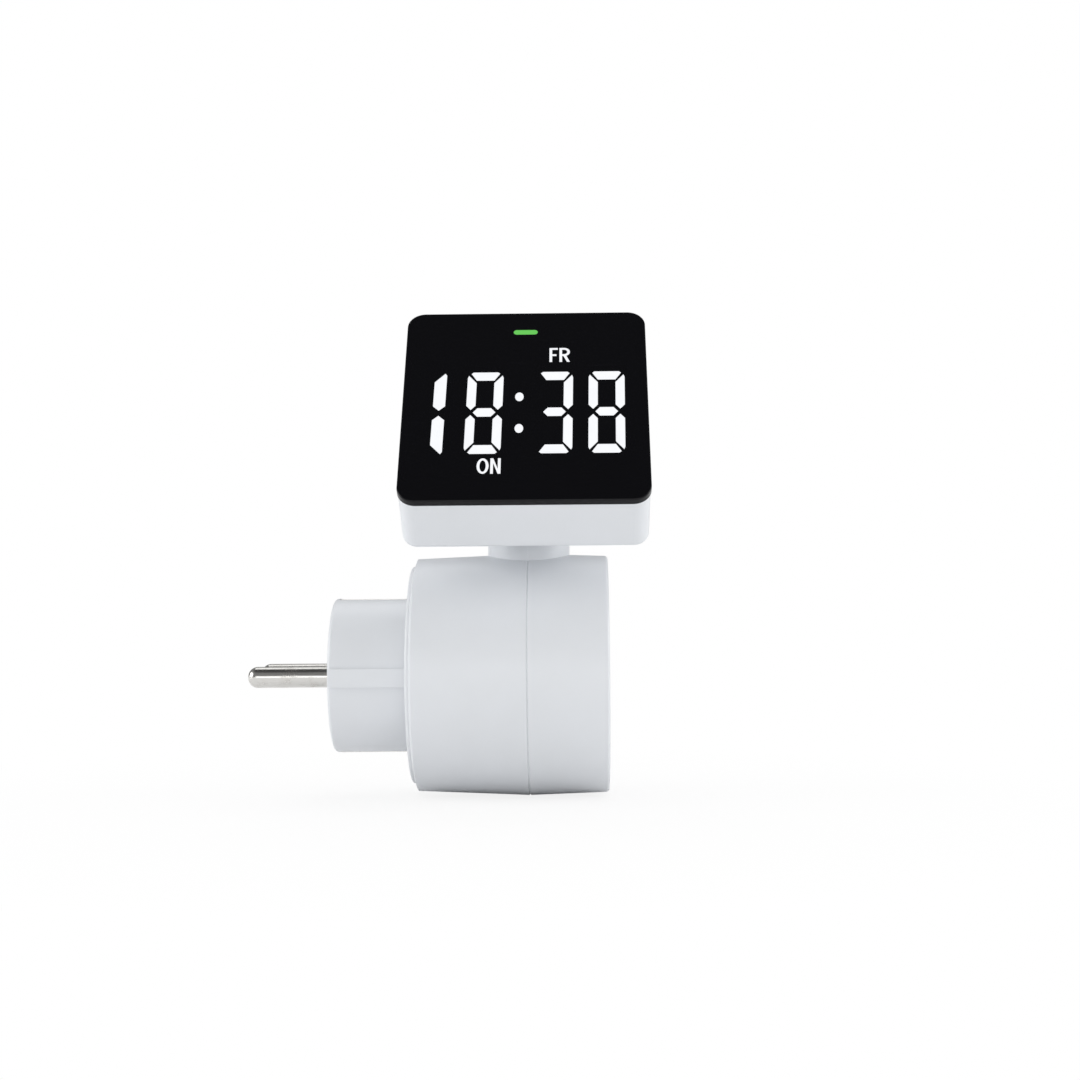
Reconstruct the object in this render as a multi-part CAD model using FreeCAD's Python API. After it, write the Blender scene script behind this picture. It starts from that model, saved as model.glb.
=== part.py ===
import FreeCAD, Part
import math
import os

# Plug-in digital timer switch. Millimetres.
# Origin at the centre of the plug face. The pins point to -X, the appliance socket opens to +X, +Z is up.
# At rest the display faces -Y and leans back.

Vec = FreeCAD.Vector
X_AXIS = Vec(1, 0, 0)
Z_AXIS = Vec(0, 0, 1)
ORIGIN = Vec(0, 0, 0)

# Two places closer than this count as one
tolerance = 1e-4

# How far a cutting tool runs past what it cuts
over = 1.0

# Plug
plug_radius = 17.85
plug_length = 18.1
plug_edge = 0.8
plug_wall = 3.4
plug_face_wall = 2.5
pin_radius = 2.4
pin_length = 19.0
pin_spacing = 19.0
pin_tip = 2.2
pin_root_radius = 2.0
pin_flange_radius = 3.2
pin_flange = 1.5
pin_tail_radius = 1.5
pin_tail_proud = 0.8
pin_tail_clearance = 0.1
pin_collar_radius = 3.1
pin_collar = 0.5
guide_width = 4.1
guide_height = 0.7
guide_root = 0.5

# Body shells
body_radius = 28.0
rear_draft = 1.05
front_draft = 0.6
shoulder_depth = 1.4
shoulder_step = 0.8
shoulder_inset = 1.75
shoulder_edge = 0.6
rear_length = 25.7
front_length = 18.3
seam_groove = 0.25
end_edge = 0.8
body_wall = 2.2
lip_length = 2.5
lip_wall = 1.2
lip_root = 2.0
lip_clearance = 0.3

# Appliance socket
recess_radius = 19.7
recess_depth = 17.5
recess_floor = 2.5
recess_wall = 2.2
recess_edge = 0.8
contact_hole_radius = 2.75
rib_width = 4.2
rib_height = 1.0
rib_inset = 3.0

# Case screws
screw_edge = 2.9
screw_seat = 1.0
screw_radius = 1.25
screw_hole = 0.02
screw_clearance = 0.15
screw_head_radius = 2.0
screw_head = 2.0
screw_head_edge = 0.5
screw_cross_depth = 1.1
screw_cross_length = 2.6
screw_cross_width = 0.6
screw_length = 33.0
screw_end_gap = 0.5
screw_boss_radius = 2.5
screw_boss_reach = 2.0
screw_boss_clearance = 0.4
screw_boss_inset = 1.0

# Earth strip
strip_width = 6.0
strip_thickness = 0.8
strip_start_x = 1.5
strip_inset = 0.15
strip_clearance = 0.2
strip_bulge = 1.8
strip_bend_run = 3.0
strip_bulge_run = 8.0
strip_end_run = 12.0
strip_turn_gap = 1.3
bridge_setback = 2.1

# Power board and what stands on it
part_gap = 0.3
board_standoff = 5.5
board_thickness = 1.6
board_wall_gap = 1.35
board_post_radius = 2.0
board_post_edge = 2.6
relay_width = 19.0
relay_edge = 0.5
relay_carrier_gap = 0.8
relay_front_gap = 2.0
film_width = 17.5
film_height = 12.0
film_thickness = 6.0
film_edge = 0.6
film_carrier_gap = 5.5
smoothing_radius = 4.0
smoothing_height = 12.0
smoothing_side = 3.4
smoothing_z = 8.6
filter_radius = 3.0
filter_height = 9.0
filter_side = 4.2
filter_z = -8.5
can_neck = 2.2
can_neck_round = 0.6
can_neck_offset = 0.35
can_edge = 0.5
varistor_radius = 4.5
varistor_thickness = 3.2
varistor_side = 0.6
varistor_z = 8.6
resistor_radius = 1.6
resistor_length = 7.5
resistor_edge = 0.5
resistor_y = 17.5
resistor_z = -12.0
rectifier_width = 3.8
rectifier_height = 3.6
rectifier_thickness = 1.8
rectifier_y = 9.8
rectifier_z = 9.0
cable_socket_width = 7.0
cable_socket_depth = 3.4
cable_socket_length = 5.4
cable_socket_y = -9.0
cable_socket_gap = 0.7

# Socket contacts and shutter
carrier_wall = 1.4
carrier_half_z = 6.0
carrier_ear = 2.5
carrier_ear_half_z = 2.5
carrier_post_radius = 1.6
carrier_post_side = 3.3
carrier_post_edge = 2.3
carrier_foot = 2.4
carrier_foot_half_y = 2.5
carrier_foot_half_z = 4.0
contact_radius = 3.1
contact_bore = 2.45
contact_clearance = 0.1
contact_floor = 1.2
contact_base = 1.0
contact_front_gap = 0.2
contact_slit_start = 3.0
contact_slit = 0.7
contact_tail_width = 3.2
contact_tail_thickness = 0.8
contact_tail_drop = 2.45
contact_tail_reach = 0.5
shutter_thickness = 1.5
shutter_gap = 0.4
shutter_side_cover = 0.25
shutter_end_cover = 0.65
shutter_pivot_radius = 1.5
shutter_pivot_end_gap = 0.1
shutter_running_gap = 0.06
spring_leaf = 0.35
spring_radius = 2.4
spring_opening = 50.0
spring_well = 1.4
spring_side_gap = 0.6
spring_end_gap = 0.2

# Pedestal and swivel
hub_radius = 9.5
hub_rise = 4.1
hub_edge = 1.6
hub_depth = 7.7
hub_floor = 2.0
hub_roof = 2.0
hub_wall = 1.5
hub_cable_radius = 3.0
spigot_step = 2.0
spigot_clearance = 0.08
flange_clearance = 0.3
flange_thickness = 1.5
swivel_range = 180.0
stop_margin = 1.0
stop_height = 0.85
peg_half_angle = 9.0
peg_inner_gap = 0.3
peg_outer_gap = 0.2
peg_height = 0.9
peg_root = 0.1
ring_thickness = 0.8
ring_gap = 0.1
ring_outer_gap = 0.15
ring_inner_gap = 0.3

# Turret
turret_gap = 0.3
turret_foot_inset = 1.8
turret_flare = 2.2
turret_flare_bulge = 0.5
turret_rim = 0.8
turret_bore = 2.4
cheek_gap = 0.3
cheek_rim = 0.9
cheek_web = 1.2
saddle_gap = 0.4

# Tilt hinge
tilt_rise = 2.8
head_tilt = 37.9
hinge_offset = 6.3
tilt_pin_radius = 1.5
tilt_pin_running_gap = 0.05
tilt_pin_seat_gap = 0.01
tilt_pin_blind = 1.6
tilt_pin_inset = 0.6
tilt_pin_edge = 0.3
tongue_half_width = 3.8
tongue_radius = 4.4

# Display head, drawn upright with the hinge at the origin, and turned into place at the end
axis_height = 24.7
head_width = 54.7
head_height = 57.4
head_corner = 4.1
window_thickness = 1.6
window_edge = 0.35
case_inset = 0.25
case_depth = 15.3
case_wall = 1.8
case_edge = 2.0
case_corner = 3.4
cover_side = 5.0
cover_low_b = 6.5
cover_top_inset = 5.4
cover_corner = 5.0
cover_depth = 9.0
cover_draft = 2.4
cover_edge = 1.5
cover_wall = 1.8
cover_lip = 1.2
cover_lip_wall = 1.2
cover_fit = 0.1
hook_width = 8.0
hook_depth = 0.6
hook_root = 0.5
hook_height = 1.2
hook_gap = 0.1
hook_a = 11.0
cable_slot_half_width = 1.4
cable_slot_y = -4.3
cable_slot_z = -1.0

# Display: places on the face, from its centre line (a) and its lower edge (b)
digit_left_margin = 6.85
digit_right_margin = 5.25
digit_one_gap = 4.7
digit_gap = 3.5
colon_left_gap = 2.8
colon_right_gap = 2.85
digit_height = 24.75
digit_bottom_b = 13.4
digit_slant = 0.8
stroke_x = 2.05
stroke_y = 2.6
stroke_trim = 0.52
stroke_corner = 1.0
stroke_slope = 0.25
stroke_round = 0.75
stroke_drop = 0.45
stroke_space = 0.75
stroke_point = 1.5
bar_rake = 0.77
one_width = 2.7
one_height = 24.5
one_peak = 2.7
one_corner = 0.4
one_drop = 0.65
colon_high = 17.05
colon_low = 7.45
colon_half_width = 0.95
colon_half_height = 1.35
bar_a = -0.1
bar_top_inset = 6.45
bar_width = 5.5
bar_height = 1.5
round_margin = 0.02
letter_height = 4.5
letter_widths = {"F": 1.9, "R": 2.4, "O": 2.6, "N": 2.25}
letter_space = 0.35
letter_stroke = 0.62
letter_depth = 0.5
weekday_text = "FR"
weekday_a = 7.7
weekday_gap = 3.1
state_text = "ON"
state_a = -7.7
state_gap = 1.3
guide_slab = 0.8
guide_margin = 0.7
guide_flush = 0.03

# Electronics of the head
housing_depth = 5.0
housing_side_inset = 1.1
housing_bar_gap = 2.2
housing_screw_gap = 0.2
housing_floor = 0.6
display_board_side_gap = 0.8
display_board_end_gap = 0.55
display_board_corner = 3.0
pillar_side_inset = 1.9
pillar_end_inset = 1.7
pillar_radius = 2.4
head_screw_radius = 1.0
head_screw_clearance = 0.1
head_screw_head_radius = 1.9
head_screw_head = 1.4
head_screw_edge = 0.4
head_screw_slot_length = 2.6
head_screw_slot_width = 0.5
head_screw_slot_depth = 0.7
head_screw_length = 6.5
head_screw_end_gap = 0.3
processor_width = 9.0
processor_thickness = 1.4
processor_b = 11.0
battery_a = 11.0
battery_b = 34.0
battery_radius = 6.25
battery_thickness = 2.0
battery_edge = 0.3
battery_base = 1.0
battery_wall = 1.2
battery_clearance = 0.1
head_socket_width = 5.6
head_socket_length = 4.0
head_socket_height = 4.0
head_socket_b = 28.0

# Buttons on the top edge
button_end_gap = 0.25
button_width = 7.0
button_depth = 3.4
button_edge = 0.35
button_board_gap = 2.8
button_proud = 0.5
button_clearance = 0.2
button_flange = 1.0
button_flange_margin = 0.7
button_flange_gap = 0.25
button_travel = 0.4
switch_drop = 1.2
switch_height = 4.6
switch_half_width = 3.0
switch_wall = 0.6
plunger_radius = 1.2
plunger_clearance = 0.1
plunger_reach = 0.3
plunger_bottom_gap = 0.3

# Cable between body and head
cable_radius = 1.0
cable_end_gap = 0.3
lower_cable_y = -5.2
lower_cable_z = 20.0
lower_cable_start_run = 6.3
lower_cable_climb_run = 3.0
lower_cable_wall_drop = 1.6
upper_cable_start_run = 4.6
upper_cable_turn_gap = 2.2

# Body sizes that follow from the ones above
pin_y = pin_spacing / 2
shoulder_x = plug_length + shoulder_depth
seam_x = shoulder_x + rear_length
body_end_x = seam_x + front_length
shoulder_radius = body_radius - rear_draft
ring_radius = shoulder_radius - shoulder_inset
end_radius = body_radius - front_draft
far = 3 * body_radius
screw_pitch_radius = ring_radius - screw_edge
screw_seat_x = shoulder_x + screw_seat
screw_tip_x = screw_seat_x + screw_length
recess_floor_x = body_end_x - recess_depth
floor_back_x = recess_floor_x - recess_floor
board_x = shoulder_x + board_standoff
board_front_x = board_x + board_thickness
board_radius = shoulder_radius - body_wall - board_wall_gap
board_post_y = board_radius - board_post_edge
strip_plug_z = plug_radius - strip_inset - strip_thickness / 2
strip_wall_z = board_radius - strip_thickness / 2
strip_socket_z = recess_radius - part_gap - strip_thickness / 2
bridge_x = board_x - bridge_setback
strip_turn_x = floor_back_x - strip_turn_gap
shutter_half_width = contact_hole_radius + shutter_side_cover
shutter_reach = pin_y + contact_hole_radius + shutter_end_cover
shutter_front_x = floor_back_x - shutter_gap
shutter_back_x = shutter_front_x - shutter_thickness
carrier_front_x = shutter_back_x - shutter_gap
carrier_back_x = board_front_x + carrier_foot
carrier_half_y = pin_y + contact_radius + carrier_wall
carrier_post_y = carrier_half_y + carrier_post_side
carrier_ear_y = carrier_post_y + carrier_post_edge
relay_front_x = floor_back_x - relay_front_gap
relay_high_z = -(carrier_half_z + relay_carrier_gap)
relay_low_z = -(strip_wall_z - strip_thickness / 2 - part_gap)
film_low_z = carrier_half_z + film_carrier_gap
cable_socket_z = film_low_z + film_thickness + cable_socket_gap

# Swivel and turret sizes that follow
hub_top_z = body_radius + hub_rise
hub_floor_z = hub_top_z - hub_depth
hub_roof_z = hub_top_z - hub_roof
hub_cavity_radius = hub_radius - hub_wall
spigot_radius = hub_cavity_radius - spigot_step
flange_radius = hub_cavity_radius - flange_clearance
flange_top_z = hub_roof_z - ring_thickness - 2 * ring_gap
flange_low_z = flange_top_z - flange_thickness
peg_inner_radius = spigot_radius + peg_inner_gap
peg_outer_radius = flange_radius - peg_outer_gap
turret_radius = hub_radius
turret_foot_radius = hub_radius - turret_foot_inset
turret_foot_z = hub_top_z + turret_gap
turret_rim_z = turret_foot_z + turret_flare
turret_top_z = turret_rim_z + turret_rim
tilt_z = turret_top_z + tilt_rise
cheek_inner = tongue_half_width + cheek_gap
cheek_outer = turret_radius - cheek_rim
cheek_radius = tongue_radius + cheek_web
saddle_radius = tongue_radius + saddle_gap
tilt_pin_start = -(cheek_outer - tilt_pin_blind)
tilt_pin_end = cheek_outer - tilt_pin_inset

# Head sizes that follow
cover_back_y = -hinge_offset
case_back_y = cover_back_y - cover_depth
window_back_y = case_back_y - case_depth
face_y = window_back_y - window_thickness
head_bottom_z = -axis_height
head_top_z = head_bottom_z + head_height
case_top_z = head_top_z - case_inset
cover_half_width = head_width / 2 - cover_side
cover_low_z = head_bottom_z + cover_low_b
cover_high_z = head_top_z - cover_top_inset
colon_width = 2 * colon_half_width
digit_space = one_width + digit_one_gap + colon_left_gap + colon_width + colon_right_gap + digit_gap
digit_width = (head_width - digit_left_margin - digit_right_margin - digit_space) / 3
hour_tens_a = -head_width / 2 + digit_left_margin + one_width / 2
hour_ones_a = hour_tens_a + one_width / 2 + digit_one_gap + digit_width / 2
colon_a = hour_ones_a + digit_width / 2 + colon_left_gap + colon_half_width
minute_tens_a = colon_a + colon_half_width + colon_right_gap + digit_width / 2
minute_ones_a = minute_tens_a + digit_width + digit_gap
colon_places = (digit_bottom_b + colon_low, digit_bottom_b + colon_high)
bar_b = head_height - bar_top_inset
weekday_b = digit_bottom_b + digit_height + weekday_gap
state_b = digit_bottom_b - state_gap - letter_height
guide_back_y = window_back_y + guide_slab
housing_back_y = guide_back_y + housing_depth
display_board_back_y = housing_back_y + board_thickness
display_board_half_width = head_width / 2 - case_inset - case_wall - display_board_side_gap
display_board_bottom_b = case_inset + case_wall + display_board_end_gap
display_board_top_b = head_height - display_board_bottom_b
pillar_a = display_board_half_width - pillar_side_inset
pillar_low_b = display_board_bottom_b + pillar_end_inset
pillar_high_b = display_board_top_b - pillar_end_inset
head_screw_end_y = housing_back_y + head_screw_length
housing_half_width = display_board_half_width - housing_side_inset
housing_bottom_b = pillar_low_b + head_screw_head_radius + housing_screw_gap
housing_top_b = bar_b - bar_height / 2 - guide_margin - housing_bar_gap
button_y = display_board_back_y + button_board_gap
button_half_span = pillar_a - pillar_radius - button_end_gap - button_flange_margin - button_width / 2
button_pitch = button_half_span / 1.5
button_flange_z = case_top_z - case_wall - button_flange_gap - button_flange
plunger_well = plunger_reach + button_travel + plunger_bottom_gap


# Shape helpers

def block(x0, x1, y0, y1, z0, z1):
    return Part.makeBox(x1 - x0, y1 - y0, z1 - z0, Vec(x0, y0, z0))


def rod(radius, start, end):
    run = end - start
    return Part.makeCylinder(radius, run.Length, start, run)


def rod_x(radius, x0, x1, y=0.0, z=0.0):
    return rod(radius, Vec(x0, y, z), Vec(x1, y, z))


def rod_y(radius, y0, y1, x=0.0, z=0.0):
    return rod(radius, Vec(x, y0, z), Vec(x, y1, z))


def rod_z(radius, z0, z1, x=0.0, y=0.0):
    return rod(radius, Vec(x, y, z0), Vec(x, y, z1))


def fuse(shapes):
    whole = shapes[0]
    for shape in shapes[1:]:
        whole = whole.fuse(shape)
    return whole.removeSplitter()


def cut(shape, tools):
    for tool in tools:
        shape = shape.cut(tool)
    return shape.removeSplitter()


def outline(entries, place):
    """Closed wire. An entry is a point, or a pair of points: the middle and end of an arc."""
    edges = []
    last = entries[0]
    for entry in entries[1:]:
        if isinstance(entry[0], tuple):
            middle, end = entry
            edges.append(Part.Arc(place(last), place(middle), place(end)).toShape())
        else:
            end = entry
            edges.append(Part.LineSegment(place(last), place(end)).toShape())
        last = end
    if last != entries[0]:
        edges.append(Part.LineSegment(place(last), place(entries[0])).toShape())
    return Part.Wire(edges)


def lathe_x(entries):
    """Turned solid about the X axis, from (x, radius) entries."""
    face = Part.Face(outline(entries, lambda p: Vec(p[0], 0, p[1])))
    return face.revolve(ORIGIN, X_AXIS, 360)


def lathe_z(entries):
    """Turned solid about the swivel axis, from (radius, z) entries."""
    face = Part.Face(outline(entries, lambda p: Vec(seam_x + p[0], 0, p[1])))
    return face.revolve(Vec(seam_x, 0, 0), Z_AXIS, 360)


def prism_x(entries, x0, x1):
    """Straight prism along X, from (y, z) entries."""
    face = Part.Face(outline(entries, lambda p: Vec(x0, p[0], p[1])))
    return face.extrude(Vec(x1 - x0, 0, 0))


def prism_y(entries, y0, y1):
    """Straight prism along Y, from (x, z) entries."""
    face = Part.Face(outline(entries, lambda p: Vec(p[0], y0, p[1])))
    return face.extrude(Vec(0, y1 - y0, 0))


def polar(radius, degrees):
    return (radius * math.cos(math.radians(degrees)), radius * math.sin(math.radians(degrees)))


def rounded_wire(half_width, z0, z1, corner, y):
    """Rounded rectangle square to Y."""
    d = corner * (1 - math.sqrt(0.5))
    w = half_width
    entries = [
        (-w + corner, z0),
        (w - corner, z0),
        ((w - d, z0 + d), (w, z0 + corner)),
        (w, z1 - corner),
        ((w - d, z1 - d), (w - corner, z1)),
        (-w + corner, z1),
        ((-w + d, z1 - d), (-w, z1 - corner)),
        (-w, z0 + corner),
        ((-w + d, z0 + d), (-w + corner, z0)),
    ]
    return outline(entries, lambda p: Vec(p[0], y, p[1]))


def rounded_block(half_width, z0, z1, corner, y0, y1):
    face = Part.Face(rounded_wire(half_width, z0, z1, corner, y0))
    return face.extrude(Vec(0, y1 - y0, 0))


def edges_at_x(shape, x):
    """Edges that lie wholly in one plane square to X."""
    found = []
    for edge in shape.Edges:
        box = edge.BoundBox
        if abs(box.XMin - x) < tolerance and abs(box.XMax - x) < tolerance:
            found.append(edge)
    return found


def edges_at_y(shape, y):
    """Edges that lie wholly in one plane square to Y."""
    found = []
    for edge in shape.Edges:
        box = edge.BoundBox
        if abs(box.YMin - y) < tolerance and abs(box.YMax - y) < tolerance:
            found.append(edge)
    return found


def edges_along_x(shape):
    """Straight edges that run along X."""
    found = []
    for edge in shape.Edges:
        box = edge.BoundBox
        if box.YLength < tolerance and box.ZLength < tolerance:
            found.append(edge)
    return found


def strip(points, half_width):
    """Bent flat strip: (x, z) points on its middle line, with round bends."""
    half = strip_thickness / 2
    pieces = []
    for start, end in zip(points, points[1:]):
        run = Vec(end[0] - start[0], 0, end[1] - start[1])
        side = Vec(-run.z, 0, run.x).normalize() * half
        corners = [
            (start[0] + side.x, start[1] + side.z),
            (end[0] + side.x, end[1] + side.z),
            (end[0] - side.x, end[1] - side.z),
            (start[0] - side.x, start[1] - side.z),
        ]
        pieces.append(prism_y(corners, -half_width, half_width))
    for point in points[1:-1]:
        pieces.append(rod_y(half, -half_width, half_width, point[0], point[1]))
    return fuse(pieces)


def tube(points, radius):
    """Round cable: straight runs joined by tangent arcs, each as large as its runs allow."""
    share = 0.45
    vectors = [Vec(*point) for point in points]
    edges = []
    radii = []
    last = vectors[0]
    for before, corner, after in zip(vectors, vectors[1:], vectors[2:]):
        come = (corner - before).normalize()
        leave = (after - corner).normalize()
        turn = come.getAngle(leave)
        setback = share * min((corner - before).Length, (after - corner).Length)
        bend = setback / math.tan(turn / 2)
        radii.append(bend)
        arc_start = corner - come * setback
        arc_end = corner + leave * setback
        inward = (leave - come).normalize()
        middle = corner + inward * (bend / math.cos(turn / 2) - bend)
        edges.append(Part.LineSegment(last, arc_start).toShape())
        edges.append(Part.Arc(arc_start, middle, arc_end).toShape())
        last = arc_end
    edges.append(Part.LineSegment(last, vectors[-1]).toShape())
    path = Part.Wire(edges)
    section = Part.Wire(Part.makeCircle(radius, vectors[0], vectors[1] - vectors[0]))
    solid = path.makePipeShell([section], True, False)
    expected = math.pi * radius ** 2 * path.Length
    print("cable bends", [round(r, 2) for r in radii], "volume", round(solid.Volume / expected, 4))
    return solid


# Body

def rear_outside():
    edge_middle = plug_edge * (1 - math.sqrt(0.5))
    ring_middle = shoulder_edge * (1 - math.sqrt(0.5))
    return lathe_x([
        (0, 0),
        (0, plug_radius - plug_edge),
        ((edge_middle, plug_radius - edge_middle), (plug_edge, plug_radius)),
        (plug_length, plug_radius),
        (plug_length, ring_radius - shoulder_edge),
        ((plug_length + ring_middle, ring_radius - ring_middle), (plug_length + shoulder_edge, ring_radius)),
        (plug_length + shoulder_step, ring_radius),
        (shoulder_x, shoulder_radius),
        (seam_x - seam_groove, body_radius),
        (seam_x, body_radius - seam_groove),
        (seam_x, 0),
    ])


def rear_inside():
    barrel_bore = plug_radius - plug_wall
    return lathe_x([
        (plug_face_wall, 0),
        (plug_face_wall, barrel_bore),
        (plug_length + body_wall, barrel_bore),
        (shoulder_x + body_wall, shoulder_radius - body_wall),
        (seam_x + over, body_radius - body_wall),
        (seam_x + over, 0),
    ])


def screw_places():
    places = []
    for quarter in range(4):
        places.append(polar(screw_pitch_radius, 45 + 90 * quarter))
    return places


def screw_boss(radius, x0, x1, y, z):
    """Post for a case screw, drawn out towards the outer wall."""
    spread = 1 + screw_boss_reach / screw_pitch_radius
    return rod_x(radius, x0, x1, y, z).fuse(rod_x(radius, x0, x1, y * spread, z * spread))


def hub_column():
    return rod_z(hub_radius, hub_floor_z, far, seam_x)


def hub_solid():
    """The pedestal: a round post whose cavity holds the turret's flange."""
    corner = hub_edge * (1 - math.sqrt(0.5))
    outside = lathe_z([
        (0, hub_floor_z),
        (hub_radius, hub_floor_z),
        (hub_radius, hub_top_z - hub_edge),
        ((hub_radius - corner, hub_top_z - corner), (hub_radius - hub_edge, hub_top_z)),
        (0, hub_top_z),
    ])
    cavity = rod_z(hub_cavity_radius, hub_floor_z + hub_floor, hub_roof_z, seam_x)
    neck = rod_z(spigot_radius + spigot_clearance, hub_roof_z - over, hub_top_z + over, seam_x)
    cable_hole = rod_z(hub_cable_radius, hub_floor_z - over, hub_floor_z + hub_floor + over, seam_x)
    return cut(outside, [cavity, neck, cable_hole])


def sector(inner, outer, z0, z1, start, end):
    """Part of a ring about the swivel axis."""
    middle = (start + end) / 2
    entries = [
        polar(inner, start),
        polar(outer, start),
        (polar(outer, middle), polar(outer, end)),
        polar(inner, end),
        (polar(inner, middle), polar(inner, start)),
    ]
    face = Part.Face(outline(entries, lambda p: Vec(seam_x + p[0], p[1], z0)))
    return face.extrude(Vec(0, 0, z1 - z0))


def swivel_stop():
    """Fills the turn that the flange's peg may not make."""
    free_half = swivel_range / 2 + peg_half_angle + stop_margin
    z0 = hub_floor_z + hub_floor
    return sector(peg_inner_radius, hub_cavity_radius, z0, z0 + stop_height, free_half, 360 - free_half)


def rear_shell():
    shell = rear_outside().cut(rear_inside())
    bosses = []
    holes = []
    for y, z in screw_places():
        bosses.append(screw_boss(screw_boss_radius, plug_length + shoulder_edge, seam_x, y, z))
        holes.append(rod_x(screw_head_radius + screw_clearance, plug_length - over, screw_seat_x, y, z))
        holes.append(rod_x(screw_radius + screw_clearance, plug_length, seam_x + over, y, z))
    bosses = [boss.common(rear_outside()) for boss in bosses]
    holes.append(rod_x(recess_radius + recess_wall + part_gap, floor_back_x - part_gap, seam_x + over))
    posts = []
    for side in (-1, 1):
        posts.append(rod_x(board_post_radius, shoulder_x, board_x, side * board_post_y, 0))
    shell = cut(shell, [hub_column()])
    rear_half = block(0, seam_x, -far, far, 0, far)
    shell = fuse([shell, hub_solid().common(rear_half), swivel_stop()] + bosses + posts)
    proud = []
    for side in (-1, 1):
        proud.append(rod_x(pin_collar_radius, -pin_collar, plug_face_wall, side * pin_y))
        y0, y1 = sorted((side * (plug_radius - guide_root), side * (plug_radius + guide_height)))
        proud.append(block(plug_edge - guide_root, plug_length + over, y0, y1,
                           -guide_width / 2, guide_width / 2))
        holes.append(rod_x(pin_root_radius, -pin_collar - over, plug_face_wall + over, side * pin_y))
        holes.append(earth_channel(side))
    return cut(fuse([shell] + proud), holes)


def earth_channel(side):
    """Room for the earth strip on the barrel and through the shoulder."""
    half = strip_width / 2 + strip_clearance
    z0 = strip_plug_z - strip_thickness / 2
    z1 = plug_radius + over
    slot_top = strip_plug_z + strip_thickness / 2 + strip_clearance
    barrel = block(strip_start_x - strip_clearance, plug_length, -half, half, z0, z1)
    slot = block(plug_length - over, shoulder_x + body_wall, -half, half, z0, slot_top)
    channel = barrel.fuse(slot)
    if side < 0:
        channel = channel.mirror(ORIGIN, Z_AXIS)
    return channel


def front_shell():
    outer_wall = end_radius - body_wall
    cup = recess_radius + recess_wall
    edge_middle = end_edge * (1 - math.sqrt(0.5))
    profile = [
        (floor_back_x, 0),
        (floor_back_x, cup),
        (body_end_x - body_wall, cup),
        (body_end_x - body_wall, outer_wall),
        (seam_x, body_radius - body_wall),
        (seam_x, body_radius - seam_groove),
        (seam_x + seam_groove, body_radius),
        (body_end_x - end_edge, end_radius),
        ((body_end_x - edge_middle, end_radius - edge_middle), (body_end_x, end_radius - end_edge)),
        (body_end_x, recess_radius + recess_edge),
        (body_end_x - recess_edge, recess_radius),
        (recess_floor_x, recess_radius),
        (recess_floor_x, 0),
    ]
    shell = lathe_x(profile)
    bosses = []
    holes = []
    for y, z in screw_places():
        boss = screw_boss(screw_boss_radius, seam_x, body_end_x - screw_boss_inset, y, z)
        bosses.append(boss.cut(rod_x(recess_radius + recess_wall / 2, seam_x, body_end_x)))
        holes.append(rod_x(screw_radius + screw_hole, floor_back_x - over, screw_tip_x + screw_end_gap,
                           y, z))
    inside_limit = lathe_x([
        (seam_x, 0),
        (seam_x, body_radius - seam_groove),
        (body_end_x - body_wall / 2, end_radius - body_wall / 2),
        (body_end_x - body_wall / 2, 0),
    ])
    bosses = [boss.common(inside_limit) for boss in bosses]
    shell = cut(shell, [hub_column()])
    front_half = block(seam_x, far, -far, far, 0, far)
    ribs = []
    for side in (-1, 1):
        y0, y1 = sorted((side * (recess_radius - rib_height), side * (recess_radius + recess_wall / 2)))
        ribs.append(block(recess_floor_x, body_end_x - rib_inset, y0, y1, -rib_width / 2, rib_width / 2))
    posts = [rod_x(shutter_pivot_radius, carrier_front_x + shutter_pivot_end_gap, floor_back_x)]
    for side in (-1, 1):
        posts.append(rod_x(carrier_post_radius, carrier_front_x, floor_back_x, side * carrier_post_y))
    shell = fuse([shell, lip_ring(), hub_solid().common(front_half)] + bosses + ribs + posts)
    for side in (-1, 1):
        holes.append(rod_x(contact_hole_radius, floor_back_x - shutter_gap / 2, recess_floor_x + over,
                           side * pin_y))
        half = strip_width / 2 + strip_clearance
        low = strip_socket_z - strip_thickness / 2 - strip_clearance
        high = strip_socket_z + strip_thickness / 2 + strip_clearance
        slot = block(floor_back_x - over, recess_floor_x + over, -half, half, low, high)
        if side < 0:
            slot = slot.mirror(ORIGIN, Z_AXIS)
        holes.append(slot)
    return cut(shell, holes)


def lip_ring():
    """Centring lip inside the rear shell's rim, open at the pedestal and at the screw bosses."""
    outer = body_radius - body_wall - lip_clearance
    into_wall = outer + 2 * lip_clearance
    ring = lathe_x([
        (seam_x - lip_length, outer - lip_wall),
        (seam_x - lip_length, outer),
        (seam_x, outer),
        (seam_x, into_wall),
        (seam_x + lip_root, into_wall),
        (seam_x + lip_root, outer - lip_wall),
    ])
    openings = [rod_z(hub_radius + part_gap, 0, far, seam_x)]
    for y, z in screw_places():
        openings.append(screw_boss(screw_boss_radius + screw_boss_clearance, seam_x - lip_length - over,
                                   seam_x, y, z))
    return cut(ring, openings)


def case_screws():
    long_half = screw_cross_length / 2
    short_half = screw_cross_width / 2
    screws = []
    for y, z in screw_places():
        top_x = screw_seat_x - screw_head
        head = rod_x(screw_head_radius, top_x, screw_seat_x, y, z)
        head = head.makeFillet(screw_head_edge, edges_at_x(head, top_x))
        slots = []
        for half_y, half_z in ((long_half, short_half), (short_half, long_half)):
            slots.append(block(top_x - over, top_x + screw_cross_depth,
                               y - half_y, y + half_y, z - half_z, z + half_z))
        shank = rod_x(screw_radius, screw_seat_x, screw_tip_x, y, z)
        screws.append(cut(head.fuse(shank), slots))
    return screws


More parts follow.
